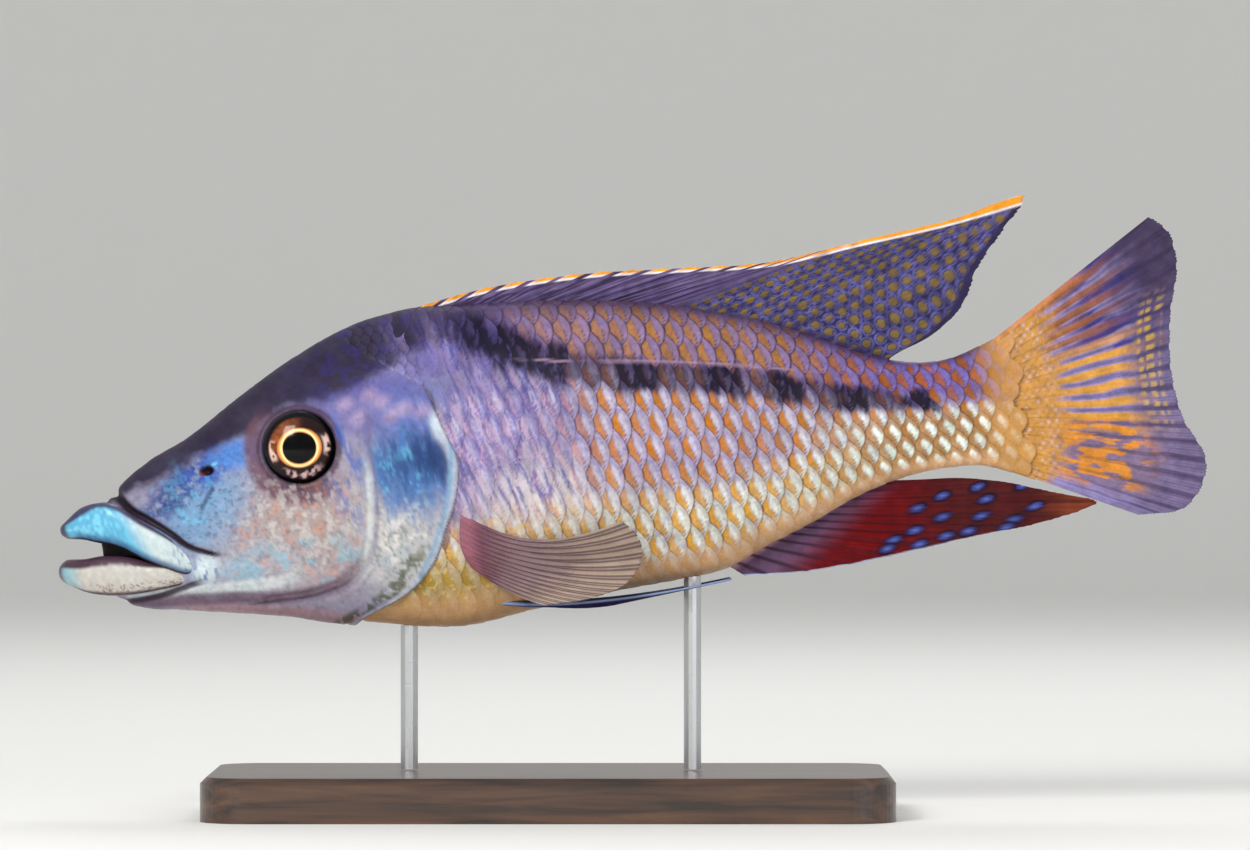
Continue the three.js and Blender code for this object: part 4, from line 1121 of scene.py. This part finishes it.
def dorsal_paint(t, s, cell, ray, centre, run):
    """Dusky spines in front, spotted soft rays behind and an orange edge over a pale line."""
    x, z = centre[..., 0], centre[..., 2]
    length = np.linalg.norm(run, axis=-1)
    soft = ramp(t, 0.5, 0.58)
    grain = noise(x, z, 1.4, 41)
    dusk = ramp(noise(t * 130, s * 4, 1.0, 47), 0.45, 0.65)
    pale_streak = ramp(noise(t * 150, s * 3, 1.0, 57), 0.58, 0.7)
    along = ((x - DORSAL_PIVOT[0]) * run[..., 0] + (z - DORSAL_PIVOT[1]) * run[..., 2]) / length
    ray_number = np.floor(t * DORSAL_RAYS)
    turn = along / SPOT_STEP + 0.5 * np.mod(ray_number, 2) + 0.25 * (noise(x, z, 6, 50) - 0.5)
    phase = np.mod(turn, 1) - 0.5
    size = 0.72 + 0.42 * noise(ray_number * 7.3, np.floor(turn) * 5.9, 1.0, 54)
    spot = np.hypot(cell / 0.4, phase / 0.36) / size
    field = soft * ramp(s * length, 2.5, 5) * ramp((1 - s) * length, 1.5, 3.0)
    inward = distance(x, z, DORSAL_MARGIN[:8], 120)
    top = ramp(x, 182.2, 181.8)
    dashes = np.maximum(soft, ramp(cell, -0.25, -0.1))
    out = layers(
        plain((80, 66, 106), t),
        ((44, 33, 62), dusk * (1 - soft) * 0.8),
        ((36, 26, 54), ray * (1 - soft) * 0.45),
        ((124, 108, 148), pale_streak * (1 - soft) * 0.45),
        ((44, 37, 70), soft),
        ((96, 96, 162), ramp(np.abs(spot - 1.3), 0.34, 0.1) * field * (0.3 + 0.5 * grain)),
        ((116, 96, 52), ramp(spot, 1.0, 0.74) * field * 0.85),
        ((132, 120, 160), ray * soft * ramp(s * length, 4, 1) * 0.6),
        ((226, 220, 222), ramp(inward, 1.2, 0.9) * top * dashes * 0.95),
        ((226, 150, 44), ramp(inward, 0.8, 0.55) * top * dashes),
    )
    return out * (0.78 + 0.44 * grain[..., None])


ANAL_SPOTS = [
    (154.2, -15.1), (158.9, -13.5), (165.6, -12.8), (173.7, -13.6), (166.8, -15.2), (158.4, -17.3),
    (165.4, -18.1), (175.4, -17.7), (171.3, -19.6), (153.1, -19), (158.6, -20.8), (162.7, -20.5),
    (169.6, -20.8), (149.1, -20.2), (153.6, -21.6), (147.7, -21.6),
]


def anal_paint(t, s, cell, _ray, centre, run):
    """Deep red with blue spots, violet grey in front."""
    x, z = centre[..., 0], centre[..., 2]
    length = np.linalg.norm(run, axis=-1)
    grain = noise(x, z, 1.6, 42)
    along = s * length
    front = ramp(x - 1.4 * (z + 20), 140, 129)
    lines = ramp(np.abs(cell), 0.2, 0.08)
    out = layers(
        plain((102, 6, 10), t),
        ((74, 22, 22), ramp(x, 148, 164)),
        ((128, 62, 36), ramp(x, 174, 184) * 0.8),
        ((92, 68, 96), front),
        ((178, 134, 152), ramp(along, 4.6, 2.6) * ramp(x, 156, 140) * 0.9),
        ((44, 22, 38), lines * (0.35 + 0.4 * front)),
        ((60, 10, 16), ramp(noise(t * 90, s * 3, 1.0, 48), 0.5, 0.7) * (1 - front) * 0.45),
    )
    for sx, sz in ANAL_SPOTS:
        u = (x - sx) * 0.97 + (z - sz) * 0.24
        v = -(x - sx) * 0.24 + (z - sz) * 0.97
        r = np.hypot(u / 1.5, v / 0.75)
        out = layers(
            out,
            ((18, 10, 30), ramp(r, 1.6, 1.1) * 0.9),
            ((54, 62, 128), ramp(r, 1.0, 0.7)),
            ((100, 112, 176), ramp(r, 0.5, 0.2) * 0.7),
        )
    inward = (1 - s) * length
    out = lay(out, colour(168, 186, 216), ramp(inward, 0.6, 0.3) * ramp(t, 0.5, 0.42) * 0.8)
    return out * (0.78 + 0.4 * grain[..., None])


def caudal_paint(t, s, _cell, ray, centre, _run):
    """Scaled root, blue and gold rays and a smoky margin."""
    x, z = centre[..., 0], centre[..., 2]
    grain, fine, tiny = noise(x, z, 1.5, 43), mottle(x, z, 1.0, 44), noise(x, z, 0.4, 51)
    wander = t + 0.012 * (noise(s * 9, t * 20, 1.0, 52) - 0.5)
    cell = np.mod(wander * CAUDAL_RAYS, 1) - 0.5
    streaks = mottle(s * 5, t * 52, 1.5, 45)
    upper = ramp(t, 0.38, 0.24)
    middle = ramp(np.abs(t - 0.47), 0.22, 0.12)
    lower = ramp(t, 0.54, 0.64) * ramp(t, 0.96, 0.84)
    ragged = noise(s * 16, np.floor(wander * CAUDAL_RAYS) * 3.7, 1.0, 53)
    on_ray = ramp(np.abs(cell), 0.34, 0.2)
    yellow = on_ray * middle * ramp(s, 0.22, 0.34) * ramp(s + 0.24 * (ragged - 0.5), 0.92, 0.84)
    blotch = ramp(mottle(s * 11, t * 44, 1.2, 49), 0.46, 0.55)
    smoke = ramp(s + 0.1 * (fine - 0.5), 0.7, 0.88)
    thin = np.abs(np.mod(wander * 2 * CAUDAL_RAYS, 1) - 0.5)
    dash = ramp(np.abs(np.mod(s * 17 + ragged, 1) - 0.5), 0.36, 0.26) * ramp(thin, 0.32, 0.2)
    dash = dash * ramp(s, 0.8, 0.84) * ramp(s, 0.96, 0.93) * ramp(np.abs(t - 0.42), 0.24, 0.12)
    edge = 0.4 + 0.12 * (fine - 0.5) + 0.06 * middle
    root = ramp(s, edge, edge - 0.14)
    lattice = np.abs(np.mod(x / 1.5 + z / 1.9, 1) - 0.5) + np.abs(np.mod(x / 1.5 - z / 1.9, 1) - 0.5)
    out = layers(
        plain((136, 126, 176), t),
        ((118, 96, 116), lower * 0.8),
        ((54, 54, 140), ramp(s, 0.4, 0.56) * ramp(streaks, 0.4, 0.54) * ramp(t, 0.52, 0.32) * 0.9),
        ((140, 86, 48), on_ray * upper * ramp(s, 0.92, 0.5) * 0.9),
        ((146, 90, 50), ramp(streaks, 0.54, 0.62) * upper * ramp(s, 0.75, 0.4) * 0.7),
        ((206, 148, 38), yellow * 0.9),
        ((208, 134, 32), blotch * lower * ramp(s, 0.25, 0.35) * ramp(s, 0.84, 0.66) * 0.9),
        ((88, 76, 112), smoke * 0.85),
        ((52, 42, 62), ramp(t, 0.34, 0.16) * ramp(s, 0.5, 0.85) * 0.75),
        ((190, 154, 52), dash * 0.9),
        ((40, 32, 56), ramp(np.abs(np.abs(cell) - 0.44), 0.1, 0.02) * ramp(s, 0.3, 0.5) * 0.45),
        ((140, 130, 168), ray * smoke * ramp(t, 0.3, 0.5) * 0.45),
        ((184, 136, 78), root),
        ((198, 142, 60), root * ramp(fine, 0.46, 0.66) * 0.5),
        ((124, 82, 50), root * ramp(lattice, 0.72, 0.92) * 0.4),
        ((206, 190, 210), root * ramp(lattice, 0.5, 0.2) * ramp(1 - fine, 0.5, 0.64) * 0.45),
        ((196, 124, 84), ramp(t, 0.04, 0.0) * ramp(s, 0.65, 0.45) * 0.85),
        ((170, 158, 190), ramp(t, 0.985, 1.0) * 0.5),
    )
    return out * (0.7 + 0.36 * grain + 0.2 * tiny)[..., None]


def pectoral_paint(t, s, cell, _ray, _centre, _run):
    """Brownish web with dark edges beside the forked rays."""
    grain = noise(t * 40, s * 20, 1.5, 45)
    split = 0.17 * ramp(s, 0.4, 0.75)
    lines = ramp(np.abs(np.abs(cell) - split), 0.16, 0.05)
    out = layers(
        plain((134, 110, 114), t),
        ((176, 156, 138), ramp(s, 0.4, 0.9) * 0.8),
        ((108, 58, 82), ramp(s, 0.42, 0.1) * 0.9),
        ((166, 104, 120), ramp(s, 0.16, 0.04) * 0.7),
        ((66, 42, 58), lines * ramp(s, 0.1, 0.26) * 0.75),
    )
    return out * (0.85 + 0.3 * grain[..., None])


def pelvic_paint(t, s, _cell, ray, _centre, _run):
    """Dark blue with a pale leading edge."""
    grain = noise(t * 30, s * 20, 1.5, 46)
    out = layers(
        plain((42, 38, 82), t),
        ((140, 160, 206), ramp(t, 0.12, 0.03) * 0.8),
        ((38, 32, 70), ray * 0.6),
    )
    return out * (0.85 + 0.3 * grain[..., None])


# Stand

def make_stand():
    """Dark wood for the base and brushed steel for the rods of the construction."""
    wood, tree = new_material("dark_wood")
    place = add(tree, "TexCoord", {}).outputs["Object"]
    stretch = add(tree, "Mapping", {"Scale": (12, 160, 160), "Vector": place}).outputs["Vector"]
    veins = {"Scale": 3, "Detail": 8, "Distortion": 0.6, "Vector": stretch}
    figure = add(tree, "TexNoise", veins).outputs["Fac"]
    tones = add(tree, "ValToRGB", {"Fac": figure})
    for stop, (position, tone) in zip(tones.color_ramp.elements, ((0.35, (36, 22, 15)), (0.7, (88, 58, 38)))):
        stop.position = position
        stop.color = (*colour(*tone), 1)
    relief = add(tree, "Bump", {"Strength": 0.15, "Distance": 0.2 * MM, "Height": figure})
    wire(tree, tree.nodes["Principled BSDF"], {
        "Base Color": tones.outputs["Color"], "Normal": relief.outputs["Normal"], "Roughness": 0.42,
        "Coat Weight": 0.5, "Coat Roughness": 0.18,
    })

    steel, tree = new_material("brushed_rods")
    place = add(tree, "TexCoord", {}).outputs["Object"]
    stretch = add(tree, "Mapping", {"Scale": (400, 400, 6000), "Vector": place}).outputs["Vector"]
    brush = add(tree, "TexNoise", {"Scale": 1, "Vector": stretch}).outputs["Fac"]
    gloss = add(tree, "MapRange", {"To Min": 0.22, "To Max": 0.4, "Value": brush})
    wire(tree, tree.nodes["Principled BSDF"], {
        "Base Color": (0.55, 0.56, 0.58, 1), "Metallic": 1, "Roughness": gloss.outputs["Result"],
    })

    for node, material in (("stand_base", wood), ("stand_rod_front", steel), ("stand_rod_rear", steel)):
        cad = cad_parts[node]
        cad.data.materials.clear()
        cad.data.materials.append(material)


# Studio. A pixel of the picture is PIXEL millimetres on the fish; the rest is in metres.

PIXEL = 0.18
PICTURE_SIZE = (1250, 850)
SNOUT_PIXEL = (60, 545)
CAMERA_AWAY = 1.3
FLANK_Y = -0.008
SENSOR = 36
AIM_HEIGHT = 0.06
LIGHTS = (
    ("key", (-0.45, -0.95, 0.65), 0.4, 11.0, (1, 0.985, 0.95)),
    ("fill", (0.8, -0.9, 0.3), 0.7, 3.0, (0.97, 0.98, 1)),
    ("back", (0.2, 0.7, 0.9), 0.6, 3.5, (1, 1, 1)),
)
FLOOR_RADIUS, FLOOR_BEND, WALL_HEIGHT, FLOOR_TURNS = 2.6, 0.9, 2.4, 96


def make_studio():
    """Camera square to the left flank, pale floor with a curved wall, three lamps and an even sky."""
    camera = bpy.data.cameras.new("camera")
    camera.sensor_width = SENSOR
    camera.lens = SENSOR * CAMERA_AWAY / (PICTURE_SIZE[0] * PIXEL * MM)
    camera.clip_start = 0.05
    eye = bpy.data.objects.new("camera", camera)
    right = PICTURE_SIZE[0] / 2 - SNOUT_PIXEL[0]
    up = SNOUT_PIXEL[1] - PICTURE_SIZE[1] / 2
    eye.location = ((FISH_X + right * PIXEL) * MM, FLANK_Y - CAMERA_AWAY, (FISH_Z + up * PIXEL) * MM)
    eye.rotation_euler = (math.pi / 2, 0, 0)
    bpy.context.scene.collection.objects.link(eye)
    bpy.context.scene.camera = eye

    foot = FLOOR_RADIUS - FLOOR_BEND
    profile = [(0.4, 0.0), (1.2, 0.0), (foot, 0.0)]
    for a in np.linspace(0.1, math.pi / 2, 16):
        profile.append((foot + FLOOR_BEND * math.sin(a), FLOOR_BEND * (1 - math.cos(a))))
    profile.append((FLOOR_RADIUS, WALL_HEIGHT))
    around = np.linspace(0, 2 * math.pi, FLOOR_TURNS, endpoint=False)
    points = np.array([(r * math.cos(a), r * math.sin(a), z) for r, z in profile for a in around])
    points = np.concatenate([points, [(0, 0, 0)]])
    loop = np.arange(FLOOR_TURNS)
    disc = np.stack([np.full(FLOOR_TURNS, len(points) - 1), loop, (loop + 1) % FLOOR_TURNS], -1)
    faces = [grid_faces(len(profile), FLOOR_TURNS, wrap=True)[:, ::-1], disc]
    paper, tree = new_material("pale_paper")
    wire(tree, tree.nodes["Principled BSDF"], {
        "Base Color": (0.84, 0.84, 0.83, 1), "Roughness": 0.9, "Specular IOR Level": 0.2,
    })
    floor = make_mesh("floor", points, faces, np.ones((len(points), 3)), np.zeros((len(points), 2)), paper)

    for name, place, size, power, tint in LIGHTS:
        light = bpy.data.lights.new(name, "AREA")
        light.size = size
        light.energy = power
        light.color = tint
        lamp = bpy.data.objects.new(name, light)
        lamp.location = place
        aim = np.array([0.0, 0.0, AIM_HEIGHT]) - np.array(place)
        lamp.rotation_euler = (
            math.atan2(math.hypot(aim[0], aim[1]), -aim[2]), 0, math.atan2(aim[0], -aim[1]) + math.pi,
        )
        bpy.context.scene.collection.objects.link(lamp)
    world = bpy.data.worlds.new("studio")
    world.use_nodes = True
    sky = {"Color": (0.94, 0.94, 0.94, 1), "Strength": 0.62}
    wire(world.node_tree, world.node_tree.nodes["Background"], sky)
    bpy.context.scene.world = world
    bpy.context.scene.view_settings.view_transform = "Standard"


def main():
    make_skin(painted("wet_skin", 0.42, 0.09, grain=0.2, grain_size=0.8, bump=0.35, sheen=0.1, glow=0.05))
    scales = painted("scales", 0.42, 0.08, grain=0.2, grain_size=0.5, bump=0.3, sheen=0.12)
    lips = painted("lips", 0.36, 0.25, grain=0.14, grain_size=0.8, bump=0.25, glow=0.08)
    eyes = painted("eyes", 0.12, 0.3, grain=0.0, grain_size=1.0, bump=0.0, sheen=0.1)
    fins = painted("fins", 0.5, 0.02, grain=0.2, grain_size=0.5, bump=0.25, sheen=0.08, glow=0.1)
    clear = painted(
        "pectoral_web", 0.5, 0.05, grain=0.2, grain_size=0.5, bump=0.25, sheen=0.15, alpha=0.82, glow=0.1,
    )
    nape_row = lambda x: NAPE_ROW + 0 * x
    for left, word in ((True, "left"), (False, "right")):
        for number, (a, b) in enumerate(LARGE_SCALE_RUNS, 1):
            make_scales(f"scales_{word}_{number}", scales, left, a, b, SCALE_PITCH, row_pitch, on_body)
        make_scales(f"scales_{word}_nape", scales, left, *NAPE_RUN, NAPE_PITCH, nape_row, on_nape, nape=True)
    make_lip("upper_lip", UPPER_LIP, upper_lip_paint, lips, "upper_jaw")
    make_lip("lower_lip", LOWER_LIP, lower_lip_paint, lips, "lower_jaw")
    for side, word in ((-1, "left"), (1, "right")):
        make_eye(side, word, eyes)
    make_fin(
        "dorsal", fins, "dorsal_fin", "dorsal_fin", middle_fin(DORSAL_BASE, DORSAL_MARGIN), dorsal_paint,
        DORSAL_RAYS, 100, root=1.3, edge=0.22, ridge=0.26, notch=0.04, spiny_share=0.54,
    )
    make_fin(
        "anal", fins, "anal_fin", "anal_fin", middle_fin(ANAL_BASE, ANAL_MARGIN), anal_paint,
        ANAL_RAYS, 60, root=1.2, edge=0.22, ridge=0.26, notch=0.03, spiny_share=0.2,
    )
    make_fin(
        "caudal", fins, "caudal_fin", "caudal_fin", middle_fin(CAUDAL_BASE, CAUDAL_MARGIN), caudal_paint,
        CAUDAL_RAYS, 120, root=3.4, edge=0.2, ridge=0.3, notch=0.022,
    )
    for side, word in ((-1, "left"), (1, "right")):
        flank = lambda x, z: float(flank_at(x, max(z, float(belly_line(x)) + 4)))
        on_flank = lambda points: [(x, side * (flank(x, z) + out), z) for x, z, out in points]
        across = lambda points: [(x, side * out, z) for x, out, z in points]
        pectoral = [on_flank(points) for points in (PECTORAL_BASE, PECTORAL_BEND, PECTORAL_MARGIN)]
        make_fin(
            f"pectoral_{word}", clear, "paired_fins", f"pectoral_fin_{word}", bent_fin(*pectoral),
            pectoral_paint, PECTORAL_RAYS, 60, root=2.8, edge=0.2, ridge=0.2, notch=0.02,
        )
        pelvic = [across(points) for points in (PELVIC_BASE, PELVIC_BEND, PELVIC_MARGIN)]
        make_fin(
            f"pelvic_{word}", fins, "paired_fins", f"pelvic_fin_{word}", bent_fin(*pelvic),
            pelvic_paint, PELVIC_RAYS, 50, root=1.2, edge=0.25, ridge=0.2, notch=0.03,
        )
    make_stand()
    make_studio()


main()
